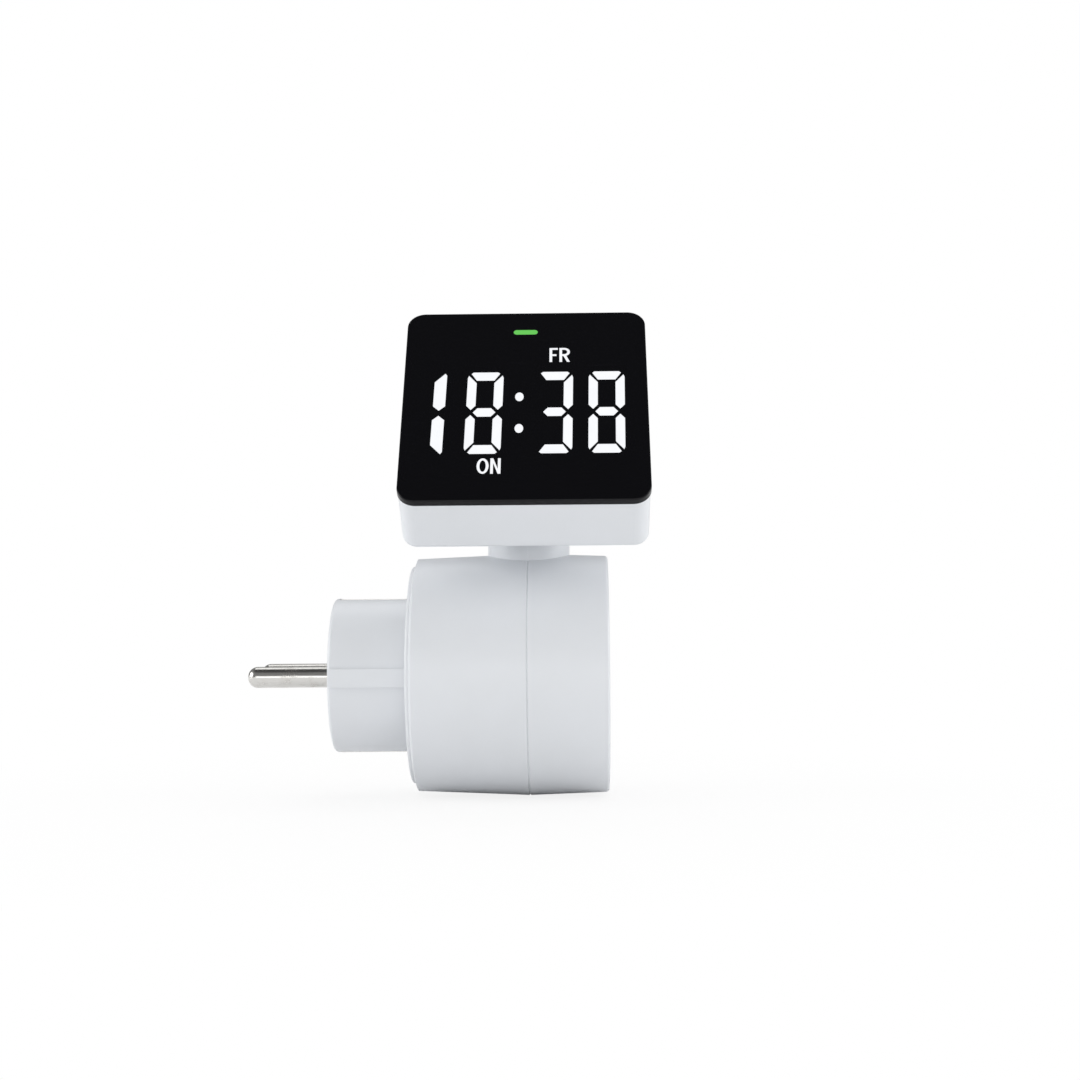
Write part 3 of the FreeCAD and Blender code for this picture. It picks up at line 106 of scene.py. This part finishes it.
def open_group(name, inputs, outputs):
    """A node group with its inputs {name: value} and its outputs (name, ...), all plain numbers."""
    group = bpy.data.node_groups.new(name, "ShaderNodeTree")
    for label, value in inputs.items():
        socket = group.interface.new_socket(name=label, in_out="INPUT", socket_type="NodeSocketFloat")
        socket.default_value = value
    for label in outputs:
        group.interface.new_socket(name=label, in_out="OUTPUT", socket_type="NodeSocketFloat")
    entry = put(group, "NodeGroupInput", (0, 0))
    leave = put(group, "NodeGroupOutput", (12, 0))
    return group, entry, leave


def maths(tree, operation, place, first, second, third=None):
    """Result of a Math node on numbers or outputs."""
    node = put(tree, "ShaderNodeMath", place, operation=operation)
    feed(tree, node.inputs[0], first)
    feed(tree, node.inputs[1], second)
    if third is not None:
        feed(tree, node.inputs[2], third)
    return node.outputs[0]


def spread(tree, place, value, low, high, to_low=0.0, to_high=1.0):
    """Map Range of a value, held within its ends."""
    node = put(tree, "ShaderNodeMapRange", place, clamp=True)
    ends = {"Value": value, "From Min": low, "From Max": high, "To Min": to_low, "To Max": to_high}
    for label, end in ends.items():
        feed(tree, node.inputs[label], end)
    return node.outputs["Result"]


def noise(tree, place, where, scale, detail, roughness=0.5):
    """Noise over places, with its scale in patches for each unit that they count in."""
    node = put(tree, "ShaderNodeTexNoise", place, Detail=detail, Roughness=roughness)
    feed(tree, node.inputs["Vector"], where)
    feed(tree, node.inputs["Scale"], scale)
    return node.outputs["Fac"]


def on_piece(tree, place):
    """Places in the piece's own frame, in metres."""
    return put(tree, "ShaderNodeTexCoord", place).outputs["Object"]


def axes(tree, place, vector):
    """Outputs X, Y and Z of a vector."""
    node = put(tree, "ShaderNodeSeparateXYZ", place)
    feed(tree, node.inputs["Vector"], vector)
    return node.outputs


def rebuilt(tree, place, **parts):
    """A vector from single axes. An axis that isn't given stays 0."""
    node = put(tree, "ShaderNodeCombineXYZ", place)
    for axis, value in parts.items():
        feed(tree, node.inputs[axis], value)
    return node.outputs["Vector"]


def stretched(tree, place, where, scale, turn=(0.0, 0.0, 0.0)):
    """Places scaled and turned, so that a pattern on them runs long one way."""
    node = put(tree, "ShaderNodeMapping", place, Rotation=turn, Scale=scale)
    feed(tree, node.inputs["Vector"], where)
    return node.outputs["Vector"]


def blend_colour(tree, place, mask, under, over):
    """Colour mix by a mask. Under and over are colours or outputs."""
    node = put(tree, "ShaderNodeMix", place, data_type="RGBA")
    feed(tree, node.inputs["Factor"], mask)
    feed(tree, node.inputs[COLOUR_A], under)
    feed(tree, node.inputs[COLOUR_B], over)
    return node.outputs[COLOUR_RESULT]


def blend_number(tree, place, mask, under, over):
    """Mix of two numbers by a mask."""
    node = put(tree, "ShaderNodeMix", place, data_type="FLOAT")
    feed(tree, node.inputs["Factor"], mask)
    feed(tree, node.inputs["A"], under)
    feed(tree, node.inputs["B"], over)
    return node.outputs["Result"]


def between(tree, place, mask, low, high):
    """Low where a mask is off, and high where it is on."""
    return spread(tree, place, mask, 0.0, 1.0, low, high)


def weakened(tree, place, mask, share):
    """A mask at a share of its strength."""
    return maths(tree, "MULTIPLY", place, mask, share)


def shifted(tree, place, value, mask, amount):
    """A value raised by an amount, or lowered where that is negative, as far as a mask is on."""
    return maths(tree, "MULTIPLY_ADD", place, mask, amount, value)


# Shared effects

def spark_grain():
    """Fine texture that an eroded mould leaves on plastic."""
    group, entry, leave = open_group("spark_grain", {"Grains per metre": 2600.0}, ("Height", "Speckle"))
    grains = entry.outputs["Grains per metre"]
    where = on_piece(group, (0, 2))
    fine = noise(group, (3, 0), where, grains, detail=3.0, roughness=0.62)
    cells = put(group, "ShaderNodeTexVoronoi", (3, 2), feature="SMOOTH_F1")
    join(group, (where, cells.inputs["Vector"]), (grains, cells.inputs["Scale"]))
    pits = weakened(group, (5, 2), cells.outputs["Distance"], 0.6)
    height = maths(group, "ADD", (7, 1), fine, pits)
    speckle = spread(group, (7, 3), fine, low=0.38, high=0.62)
    join(group, (height, leave.inputs["Height"]), (speckle, leave.inputs["Speckle"]))
    return group


def edge_wear_and_highlight():
    """Mask of outer edges, broken up unevenly in patches. Where a finish paints its edges paler with it,
    that stands partly for rubbed wear and partly for a painted highlight.
    """
    group, entry, leave = open_group("edge_wear_and_highlight", {"Edge width": 0.4 * MM, "Unevenness": 0.5}, ("Mask",))
    patches_per_metre = 420.0
    rounded = put(group, "ShaderNodeBevel", (2, 0), samples=6)
    join(group, (entry.outputs["Edge width"], rounded.inputs["Radius"]))
    surface = put(group, "ShaderNodeNewGeometry", (2, 2))
    meet = put(group, "ShaderNodeVectorMath", (4, 1), operation="DOT_PRODUCT")
    join(group, (rounded.outputs["Normal"], meet.inputs[0]), (surface.outputs["Normal"], meet.inputs[1]))
    edge = spread(group, (6, 1), meet.outputs["Value"], low=0.998, high=0.86)
    patches = noise(group, (4, 4), on_piece(group, (2, 4)), patches_per_metre, detail=4.0, roughness=0.6)
    edge_strength = spread(group, (6, 4), patches, low=0.35, high=0.65)
    edge_gaps = maths(group, "SUBTRACT", (7, 5), 1.0, edge_strength)
    loss = maths(group, "MULTIPLY", (8, 4), edge_gaps, entry.outputs["Unevenness"])
    rest = maths(group, "SUBTRACT", (9, 4), 1.0, loss)
    # Edge mask that the finishes use for paler edges: partly rubbed wear, partly a painted highlight
    mask = maths(group, "MULTIPLY", (10, 2), edge, rest)
    join(group, (mask, leave.inputs["Mask"]))
    return group


def handling():
    """Broad, faint differences left by fingers and cloths."""
    group, entry, leave = open_group("handling", {"Patches per metre": 55.0}, ("Smear", "Cloud"))
    patches = entry.outputs["Patches per metre"]
    finer = 3.7
    where = on_piece(group, (0, 2))
    broad = noise(group, (3, 0), where, patches, detail=3.0)
    more = maths(group, "MULTIPLY", (2, 3), patches, finer)
    close = noise(group, (4, 3), where, more, detail=5.0, roughness=0.65)
    smear = maths(group, "MULTIPLY", (6, 1),
                  spread(group, (5, 0), broad, low=0.4, high=0.7),
                  spread(group, (5, 3), close, low=0.35, high=0.7))
    cloud = spread(group, (7, 3), broad, low=0.3, high=0.7)
    join(group, (smear, leave.inputs["Smear"]), (cloud, leave.inputs["Cloud"]))
    return group


def settled_dust():
    """Thin dust on faces that look up."""
    group, entry, leave = open_group("settled_dust", {"Amount": 0.3}, ("Mask",))
    specks_per_metre = 900.0
    normal = put(group, "ShaderNodeNewGeometry", (1, 0)).outputs["Normal"]
    upward = spread(group, (5, 0), axes(group, (3, 0), normal)["Z"], low=0.35, high=1.0)
    grains = noise(group, (3, 3), on_piece(group, (1, 3)), specks_per_metre, detail=6.0, roughness=0.7)
    specks = spread(group, (5, 3), grains, low=0.45, high=0.75)
    lying = maths(group, "MULTIPLY", (6, 1), upward, specks)
    mask = maths(group, "MULTIPLY", (7, 1), lying, entry.outputs["Amount"])
    join(group, (mask, leave.inputs["Mask"]))
    return group


def lathe_marks():
    """Rings and streaks of a turned or drawn metal rod that runs along X, and a few stains."""
    group, entry, leave = open_group(
        "lathe_marks",
        {"Rings per metre": 5200.0, "Streaks per metre": 2200.0},
        ("Rings", "Streaks", "Stain"))
    ring_drift = 0.03
    streak_squeeze = 0.02
    stains_per_metre = 260.0
    where = on_piece(group, (0, 2))
    parts = axes(group, (1, 2), where)
    drift = maths(group, "MULTIPLY", (2, 1), parts["Y"], ring_drift)
    along = rebuilt(group, (3, 0), X=parts["X"], Y=drift)
    rings = noise(group, (5, 0), along, entry.outputs["Rings per metre"], detail=2.0, roughness=0.6)
    squeezed = maths(group, "MULTIPLY", (2, 4), parts["X"], streak_squeeze)
    across = rebuilt(group, (3, 3), X=squeezed, Y=parts["Y"], Z=parts["Z"])
    streaks = noise(group, (5, 3), across, entry.outputs["Streaks per metre"], detail=3.0, roughness=0.6)
    patches = noise(group, (5, 5), where, stains_per_metre, detail=5.0, roughness=0.6)
    stain = spread(group, (7, 5), patches, low=0.48, high=0.75)
    join(group, (rings, leave.inputs["Rings"]), (streaks, leave.inputs["Streaks"]),
         (stain, leave.inputs["Stain"]))
    return group


GRAIN = spark_grain()
EDGE = edge_wear_and_highlight()
HANDS = handling()
DUST = settled_dust()
MARKS = lathe_marks()


# Material builders

def begin(name):
    """A new material, its node tree and its Principled shader."""
    finish = bpy.data.materials.new(name)
    finish.use_nodes = True
    tree = finish.node_tree
    return finish, tree, tree.nodes["Principled BSDF"]


def effect(tree, group, place, **values):
    """A shared effect with this finish's values. An underscore stands for a space in an input's name."""
    node = put(tree, "ShaderNodeGroup", place)
    node.node_tree = group
    for label, value in values.items():
        node.inputs[label.replace("_", " ")].default_value = value
    return node


def bumped(tree, place, height, strength, relief):
    """Normal that a height gives, with its relief in millimetres."""
    node = put(tree, "ShaderNodeBump", place, Strength=strength, Distance=relief * MM)
    feed(tree, node.inputs["Height"], height)
    return node.outputs["Normal"]


def dress(tree, skin, colour, rough, normal):
    """Links a finish's colour, roughness and normal to its shader."""
    join(tree,
         (colour, skin.inputs["Base Color"]),
         (rough, skin.inputs["Roughness"]),
         (normal, skin.inputs["Normal"]))


def toned(colour, factor, lift=0.0):
    """A colour made darker or paler, held at white."""
    return tuple(min(1.0, channel * factor + lift) for channel in colour)


def moulded(name, colour, roughness, grain=2600.0, relief=0.02, strength=0.25, aged=None, worn=None,
            dusty=0.15):
    """Injection-moulded plastic: eroded grain, slight ageing, paler edges that are partly rubbed wear
    and partly a painted highlight, and a little dust.
    """
    finish, tree, skin = begin(name)
    aged = aged or toned(colour, 0.93)
    # Edge colour paler than the body: partly rubbed wear, partly a painted highlight
    worn = worn or toned(colour, 1.06, 0.01)
    dust_colour = toned(colour, 0.5, 0.25)
    hands = effect(tree, HANDS, (-6, 0))
    convex_edge = effect(tree, EDGE, (-6, 2), Edge_width=0.4 * MM)
    dust = effect(tree, DUST, (-6, 4), Amount=dusty)
    texture = effect(tree, GRAIN, (-6, 6), Grains_per_metre=grain)
    edge_strength = weakened(tree, (-4, 2), convex_edge.outputs["Mask"], 0.6)
    dusted = weakened(tree, (-3, 3), dust.outputs["Mask"], 0.5)
    body = blend_colour(tree, (-4, 0), hands.outputs["Cloud"], colour, aged)
    # Paler outer edges: partly rubbed wear, partly a painted highlight
    body = blend_colour(tree, (-3, 0), edge_strength, body, worn)
    body = blend_colour(tree, (-2, 0), dusted, body, dust_colour)
    rough = between(tree, (-3, 5), texture.outputs["Speckle"], roughness - 0.04, roughness + 0.05)
    rough = shifted(tree, (-2, 5), rough, hands.outputs["Smear"], -0.06)
    rough = shifted(tree, (-1, 5), rough, dust.outputs["Mask"], 0.25)
    normal = bumped(tree, (-2, 7), texture.outputs["Height"], strength, relief)
    dress(tree, skin, body, rough, normal)
    return finish


def bare_metal(name, colour, roughness, dull, rings=5200.0, streaks=2200.0, relief=0.006):
    """Turned or stamped metal: machining marks, brighter edges that are partly rubbed wear and partly a
    painted highlight, and dull stains.
    """
    finish, tree, skin = begin(name)
    bright = toned(colour, 1.12)
    marks = effect(tree, MARKS, (-6, 0), Rings_per_metre=rings, Streaks_per_metre=streaks)
    convex_edge = effect(tree, EDGE, (-6, 3), Edge_width=0.3 * MM, Unevenness=0.35)
    hands = effect(tree, HANDS, (-6, 5), Patches_per_metre=140.0)
    stained = weakened(tree, (-5, 1), marks.outputs["Stain"], 0.5)
    body = blend_colour(tree, (-4, 0), stained, colour, dull)
    # Brighter outer edges: partly rubbed wear, partly a painted highlight
    body = blend_colour(tree, (-3, 0), convex_edge.outputs["Mask"], body, bright)
    rough = spread(tree, (-4, 3), marks.outputs["Streaks"], low=0.3, high=0.7,
                   to_low=roughness - 0.04, to_high=roughness + 0.08)
    rough = shifted(tree, (-3, 3), rough, marks.outputs["Stain"], 0.10)
    rough = shifted(tree, (-2, 3), rough, hands.outputs["Smear"], 0.08)
    height = shifted(tree, (-4, 6), marks.outputs["Streaks"], marks.outputs["Rings"], 0.7)
    normal = bumped(tree, (-2, 6), height, strength=0.3, relief=relief)
    dress(tree, skin, body, rough, normal)
    skin.inputs["Metallic"].default_value = 1.0
    return finish


def glossy_window():
    """Black acrylic front: near mirror gloss with hairline scratches and faint smears."""
    finish, tree, skin = begin("black_window")
    black = (0.0035, 0.0035, 0.0045)
    worn = (0.012, 0.014, 0.019)
    scratched = (0.02, 0.02, 0.024)
    hairs_per_metre = (30.0, 1400.0, 60.0)
    hair_turn = (0.6, 0.3, 0.5)
    slant = stretched(tree, (-8, 0), on_piece(tree, (-9, 0)), hairs_per_metre, hair_turn)
    lines = noise(tree, (-6, 0), slant, 1.0, detail=4.0, roughness=0.7)
    hairs = spread(tree, (-5, 0), lines, low=0.66, high=0.74)
    hands = effect(tree, HANDS, (-6, 2), Patches_per_metre=70.0)
    convex_edge = effect(tree, EDGE, (-6, 4), Edge_width=0.3 * MM)
    # Paler bluish edges: partly rubbed wear, partly a painted highlight on the rim
    body = blend_colour(tree, (-3, 0), convex_edge.outputs["Mask"], black, worn)
    body = blend_colour(tree, (-2, 0), weakened(tree, (-4, 1), hairs, 0.25), body, scratched)
    rough = between(tree, (-3, 2), hands.outputs["Smear"], 0.045, 0.13)
    rough = shifted(tree, (-2, 2), rough, hairs, 0.08)
    normal = bumped(tree, (-2, 4), hairs, strength=0.05, relief=0.004)
    dress(tree, skin, body, rough, normal)
    skin.inputs["Specular IOR Level"].default_value = 0.22
    return finish


def lit_guide(name, glow, strength, unlit):
    """Translucent light guide that shines evenly, a little less at its rim."""
    finish, tree, skin = begin(name)
    dim = toned(glow, 0.86)
    hands = effect(tree, HANDS, (-6, 0), Patches_per_metre=260.0)
    texture = effect(tree, GRAIN, (-6, 2), Grains_per_metre=5200.0)
    convex_edge = effect(tree, EDGE, (-6, 4), Edge_width=0.35 * MM, Unevenness=0.1)
    light = blend_colour(tree, (-4, 0), weakened(tree, (-5, 1), hands.outputs["Cloud"], 0.35), glow, dim)
    light = blend_colour(tree, (-3, 0), weakened(tree, (-4, 4), convex_edge.outputs["Mask"], 0.5), light, dim)
    shade = blend_colour(tree, (-3, 2), texture.outputs["Speckle"], unlit, toned(unlit, 0.8))
    rough = between(tree, (-3, 5), texture.outputs["Speckle"], 0.25, 0.38)
    normal = bumped(tree, (-2, 6), texture.outputs["Height"], strength=0.1, relief=0.01)
    dress(tree, skin, shade, rough, normal)
    join(tree, (light, skin.inputs["Emission Color"]))
    skin.inputs["Emission Strength"].default_value = strength
    return finish


def circuit_board():
    """Green solder mask over copper tracks that run in two directions, with round pads."""
    finish, tree, skin = begin("board_green")
    green = (0.008, 0.075, 0.028)
    over_track = (0.02, 0.15, 0.055)
    tinned = (0.62, 0.60, 0.55)
    field_size = 3.1 * MM
    fields_per_metre = 300.0
    track_pitch = 0.55 * MM
    pads_per_metre = 230.0
    where = on_piece(tree, (-12, 0))
    snapped = put(tree, "ShaderNodeVectorMath", (-11, 2), operation="SNAP")
    snapped.inputs[1].default_value = (field_size, field_size, field_size)
    join(tree, (where, snapped.inputs[0]))
    fields = noise(tree, (-10, 2), snapped.outputs[0], fields_per_metre, detail=0.0)
    chosen = spread(tree, (-9, 2), fields, low=0.49, high=0.51)
    parts = axes(tree, (-11, 4), where)
    ways = []
    for row, axis in enumerate("YZ", start=4):
        bands = maths(tree, "PINGPONG", (-9, row), parts[axis], track_pitch)
        ways.append(spread(tree, (-8, row), bands, low=0.25 * MM, high=0.31 * MM))
    tracks = blend_number(tree, (-6, 4), chosen, ways[0], ways[1])
    spots = put(tree, "ShaderNodeTexVoronoi", (-9, 7), Scale=pads_per_metre, Randomness=0.35)
    join(tree, (where, spots.inputs["Vector"]))
    pads = spread(tree, (-7, 7), spots.outputs["Distance"], low=0.24, high=0.21)
    mask = blend_colour(tree, (-4, 0), tracks, green, over_track)
    mask = blend_colour(tree, (-3, 0), pads, mask, tinned)
    hands = effect(tree, HANDS, (-6, 9), Patches_per_metre=90.0)
    rough = between(tree, (-4, 5), hands.outputs["Cloud"], 0.24, 0.36)
    height = shifted(tree, (-4, 7), tracks, pads, 1.6)
    normal = bumped(tree, (-2, 7), height, strength=0.5, relief=0.03)
    dress(tree, skin, mask, rough, normal)
    join(tree, (weakened(tree, (-3, 3), pads, 0.9), skin.inputs["Metallic"]))
    return finish


def wrapped_can():
    """Shrink sleeve of a capacitor with fine wrinkles and a paler band."""
    finish, tree, skin = begin("can_black")
    black = (0.012, 0.013, 0.016)
    dusty_black = (0.022, 0.022, 0.026)
    band_grey = (0.32, 0.33, 0.35)
    band_pitch = 4.0 * MM
    wrinkles_per_metre = (120.0, 900.0, 900.0)
    where = on_piece(tree, (-9, 0))
    squeezed = stretched(tree, (-8, 0), where, wrinkles_per_metre)
    wrinkle = noise(tree, (-6, 0), squeezed, 1.0, detail=4.0, roughness=0.6)
    texture = effect(tree, GRAIN, (-6, 2), Grains_per_metre=3500.0)
    hands = effect(tree, HANDS, (-6, 4), Patches_per_metre=150.0)
    band = maths(tree, "PINGPONG", (-6, 6), axes(tree, (-8, 6), where)["Z"], band_pitch)
    band = spread(tree, (-5, 6), band, low=3.4 * MM, high=3.6 * MM)
    body = blend_colour(tree, (-4, 0), hands.outputs["Cloud"], black, dusty_black)
    body = blend_colour(tree, (-3, 0), band, body, band_grey)
    rough = between(tree, (-3, 3), texture.outputs["Speckle"], 0.28, 0.4)
    normal = bumped(tree, (-2, 4), wrinkle, strength=0.25, relief=0.04)
    dress(tree, skin, body, rough, normal)
    return finish


# Finishes by material slot: relief in millimetres, grain, rings and streaks per metre

PLASTICS = {
    # white_shell's paler edge colour is partly rubbed wear and partly a painted highlight
    "white_shell": {"colour": (0.735, 0.755, 0.785), "roughness": 0.36, "grain": 2300.0, "relief": 0.03,
                    "strength": 0.22, "aged": (0.715, 0.735, 0.76), "worn": (0.80, 0.815, 0.84),
                    "dusty": 0.1},
    "housing_black": {"colour": (0.02, 0.02, 0.022), "roughness": 0.5, "grain": 3000.0},
    "relay_blue": {"colour": (0.03, 0.10, 0.36), "roughness": 0.38, "grain": 1800.0},
    "film_yellow": {"colour": (0.74, 0.52, 0.05), "roughness": 0.34, "grain": 2000.0},
    "varistor_blue": {"colour": (0.02, 0.11, 0.40), "roughness": 0.3, "grain": 700.0, "relief": 0.08,
                      "strength": 0.4},
    "resistor_grey": {"colour": (0.26, 0.28, 0.30), "roughness": 0.55, "grain": 3400.0, "relief": 0.04,
                      "strength": 0.4},
    "chip_black": {"colour": (0.016, 0.016, 0.018), "roughness": 0.55, "grain": 5200.0, "strength": 0.4},
    "connector_white": {"colour": (0.70, 0.69, 0.64), "roughness": 0.42, "grain": 2500.0},
    "carrier_black": {"colour": (0.022, 0.021, 0.021), "roughness": 0.45, "grain": 2200.0},
    "shutter_grey": {"colour": (0.42, 0.43, 0.44), "roughness": 0.4},
    "ring_grey": {"colour": (0.28, 0.28, 0.29), "roughness": 0.6, "grain": 1500.0, "relief": 0.06,
                  "strength": 0.5},
    "cable_grey": {"colour": (0.32, 0.33, 0.34), "roughness": 0.48, "grain": 900.0, "relief": 0.05,
                   "strength": 0.3},
    "button_grey": {"colour": (0.60, 0.62, 0.65), "roughness": 0.33, "strength": 0.2},
}
METALS = {
    "pin_nickel": {"colour": (0.70, 0.69, 0.665), "roughness": 0.17, "dull": (0.52, 0.50, 0.46)},
    "strip_nickel": {"colour": (0.70, 0.69, 0.665), "roughness": 0.30, "dull": (0.58, 0.56, 0.52),
                     "rings": 900.0, "streaks": 3800.0, "relief": 0.0025},
    "contact_brass": {"colour": (0.72, 0.53, 0.24), "roughness": 0.28, "dull": (0.42, 0.27, 0.11),
                      "rings": 4000.0, "streaks": 2600.0},
    "screw_steel": {"colour": (0.56, 0.57, 0.58), "roughness": 0.3, "dull": (0.33, 0.33, 0.33),
                    "rings": 3200.0, "streaks": 3200.0},
    "hinge_steel": {"colour": (0.60, 0.60, 0.61), "roughness": 0.2, "dull": (0.40, 0.40, 0.41),
                    "rings": 6000.0, "streaks": 2000.0},
    "cell_steel": {"colour": (0.66, 0.66, 0.66), "roughness": 0.24, "dull": (0.45, 0.44, 0.43),
                   "rings": 1500.0, "streaks": 1500.0},
}
LIGHT_GUIDES = {
    "digit_white": {"glow": (0.96, 0.97, 1.0), "strength": 0.84, "unlit": (0.20, 0.205, 0.21)},
    "status_green": {"glow": (0.12, 0.60, 0.075), "strength": 0.85, "unlit": (0.05, 0.12, 0.05)},
}

FINISHES = {"black_window": glossy_window(), "board_green": circuit_board(), "can_black": wrapped_can()}
for builder, looks in ((moulded, PLASTICS), (bare_metal, METALS), (lit_guide, LIGHT_GUIDES)):
    for name, look in looks.items():
        FINISHES[name] = builder(name, **look)
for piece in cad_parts.values():
    for slot in piece.material_slots:
        slot.material = FINISHES[slot.material.name.split(".")[0]]


# Signs on the keys, in millimetres: each bar is its length, its width and its centre

SIGN_HEIGHT = 0.12
SIGN_SUNK = 0.02
SIGN_ROUNDING = 0.35
MIDDLE = (0.0, 0.0)
ROW_PITCH = 0.8
DOT_PITCH = 0.9
SIGNS = {
    "menu": [(2.6, 0.42, (0.0, ROW_PITCH * row)) for row in (1, 0, -1)],
    "minus": [(2.2, 0.5, MIDDLE)],
    "plus": [(2.2, 0.5, MIDDLE), (0.5, 2.2, MIDDLE)],
    "mode": [(0.6, 0.6, (DOT_PITCH * column, 0.0)) for column in (-1, 0, 1)],
}
SIGN_FINISH = moulded("mark_print", (0.05, 0.055, 0.065), 0.5, grain=3500.0, relief=0.01, strength=0.2)


def on_head(x, y, z):
    """From the upright head, with the hinge at the origin, to its leaning place in metres."""
    return (Matrix.Translation(Vector((SWIVEL_X, 0.0, HINGE_Z)) * MM)
            @ Matrix.Rotation(-math.radians(LEAN), 4, "X")
            @ Matrix.Translation(Vector((x, y, z)) * MM))


def is_rim(edge, height):
    """Whether an edge of a bar lies at its top or stands upright."""
    low, high = sorted(end.co.z for end in edge.verts)
    at_top = low > height / 2
    upright = high - low > height / 2
    return at_top or upright


def raised_bar(shape, length, width, height, centre):
    """Bar that stands on z 0, with its top and upright edges rounded."""
    made = bmesh.ops.create_cube(shape, size=1.0)["verts"]
    bmesh.ops.scale(shape, vec=(length, width, height), verts=made)
    bmesh.ops.translate(shape, vec=(*centre, height / 2), verts=made)
    rims = [edge for edge in {edge for end in made for edge in end.link_edges} if is_rim(edge, height)]
    bmesh.ops.bevel(shape, geom=rims, offset=min(width, height) * SIGN_ROUNDING, segments=3, profile=0.5,
                    affect="EDGES", material=-1)


def key_sign(name, body, x, bars):
    """Low relief sign on a push button."""
    shape = bmesh.new()
    for length, width, centre in bars:
        raised_bar(shape, length * MM, width * MM, SIGN_HEIGHT * MM, [step * MM for step in centre])
    mesh = bpy.data.meshes.new(name)
    shape.to_mesh(mesh)
    shape.free()
    mesh.transform(on_head(x, KEY_Y, KEY_TOP - SIGN_SUNK))
    mesh.materials.append(SIGN_FINISH)
    piece = bpy.data.objects.new(name, mesh)
    bpy.context.scene.collection.objects.link(piece)
    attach(piece, body)


for index, (sign, bars) in enumerate(SIGNS.items()):
    from_middle = index - (len(SIGNS) - 1) / 2
    key_sign(f"mark_{sign}", f"button_{sign}_key", KEY_PITCH * from_middle, bars)


# Studio

def floor_finish():
    """White floor, which for the camera turns to plain white away from the part's shadow."""
    finish, tree, skin = begin("floor_white")
    white = (0.93, 0.93, 0.93)
    duller_white = (0.915, 0.915, 0.918)
    hands = effect(tree, HANDS, (-4, 0), Patches_per_metre=3.0)
    tone = blend_colour(tree, (-2, 0), hands.outputs["Cloud"], white, duller_white)
    join(tree, (tone, skin.inputs["Base Color"]))
    skin.inputs["Roughness"].default_value = 0.9
    glow = put(tree, "ShaderNodeEmission", (1, 3), Strength=1.0)
    seen = put(tree, "ShaderNodeLightPath", (0, -3)).outputs["Is Camera Ray"]
    away = put(tree, "ShaderNodeVectorMath", (-3, -4), operation="DISTANCE")
    away.inputs[1].default_value = SHADOW_MIDDLE
    join(tree, (on_piece(tree, (-4, -4)), away.inputs[0]))
    white_share = spread(tree, (-1, -4), away.outputs["Value"], *SHADOW_ENDS, SHADOW_WHITE, 1.0)
    share = maths(tree, "MULTIPLY", (1, -2), seen, white_share)
    both = put(tree, "ShaderNodeMixShader", (3, 0))
    join(tree,
         (share, both.inputs[0]),
         (skin.outputs[0], both.inputs[1]),
         (glow.outputs[0], both.inputs[2]),
         (both.outputs[0], tree.nodes["Material Output"].inputs["Surface"]))
    return finish


def floor_sheet():
    """Floor just below the body."""
    shape = bmesh.new()
    bmesh.ops.create_grid(shape, x_segments=2, y_segments=2, size=FLOOR_REACH)
    bmesh.ops.translate(shape, vec=(0, 0, -BODY_RADIUS * MM - FLOOR_GAP), verts=shape.verts)
    mesh = bpy.data.meshes.new("floor")
    shape.to_mesh(mesh)
    shape.free()
    mesh.materials.append(floor_finish())
    sheet = bpy.data.objects.new("floor", mesh)
    bpy.context.scene.collection.objects.link(sheet)


def studio_world():
    """White for the eye, an even fill, and for reflections a bright horizon under a darker top."""
    world = bpy.data.worlds.new("studio")
    world.use_nodes = True
    bpy.context.scene.world = world
    tree = world.node_tree
    tree.nodes.clear()
    where = put(tree, "ShaderNodeTexCoord", (-6, 0)).outputs["Generated"]
    height = axes(tree, (-5, 0), where)["Z"]
    above_floor = spread(tree, (-4, 0), height, low=-0.02, high=0.12, to_low=0.9, to_high=0.22)
    overhead = spread(tree, (-5, 1), height, low=0.5, high=0.85, to_low=0.9, to_high=0.06)
    mirrored = maths(tree, "MINIMUM", (-4, 1), above_floor, overhead)
    path = put(tree, "ShaderNodeLightPath", (-6, 3)).outputs
    shiny = maths(tree, "MAXIMUM", (-4, 3), path["Is Glossy Ray"], path["Is Transmission Ray"])
    level = blend_number(tree, (-2, 1), shiny, FILL, mirrored)
    level = blend_number(tree, (-1, 1), path["Is Camera Ray"], level, 1.0)
    backdrop = put(tree, "ShaderNodeBackground", (1, 0), Color=(1.0, 1.0, 1.0, 1.0))
    leave = put(tree, "ShaderNodeOutputWorld", (3, 0))
    join(tree, (level, backdrop.inputs["Strength"]), (backdrop.outputs[0], leave.inputs["Surface"]))


def soft_light(name, place, size, power):
    """Rectangular lamp that faces the part."""
    lamp = bpy.data.lights.new(name, "AREA")
    lamp.shape = "RECTANGLE"
    lamp.size, lamp.size_y = size
    lamp.energy = power
    holder = bpy.data.objects.new(name, lamp)
    holder.location = place
    holder.rotation_euler = (Vector(AIM) - Vector(place)).to_track_quat("-Z", "Y").to_euler()
    bpy.context.scene.collection.objects.link(holder)


def photo_camera():
    """Camera that sees the part as the photograph does."""
    lens = bpy.data.cameras.new("camera")
    lens.lens = LENS
    lens.sensor_width = SENSOR
    lens.sensor_fit = "HORIZONTAL"
    lens.clip_start = NEAREST_SEEN * MM
    camera = bpy.data.objects.new("camera", lens)
    camera.location = Vector(EYE) * MM
    camera.rotation_euler = [math.radians(turn) for turn in EYE_TURN]
    bpy.context.scene.collection.objects.link(camera)
    bpy.context.scene.camera = camera


floor_sheet()
studio_world()
for name, lamp in LAMPS.items():
    soft_light(name, **lamp)
photo_camera()
bpy.context.scene.view_settings.view_transform = "Standard"
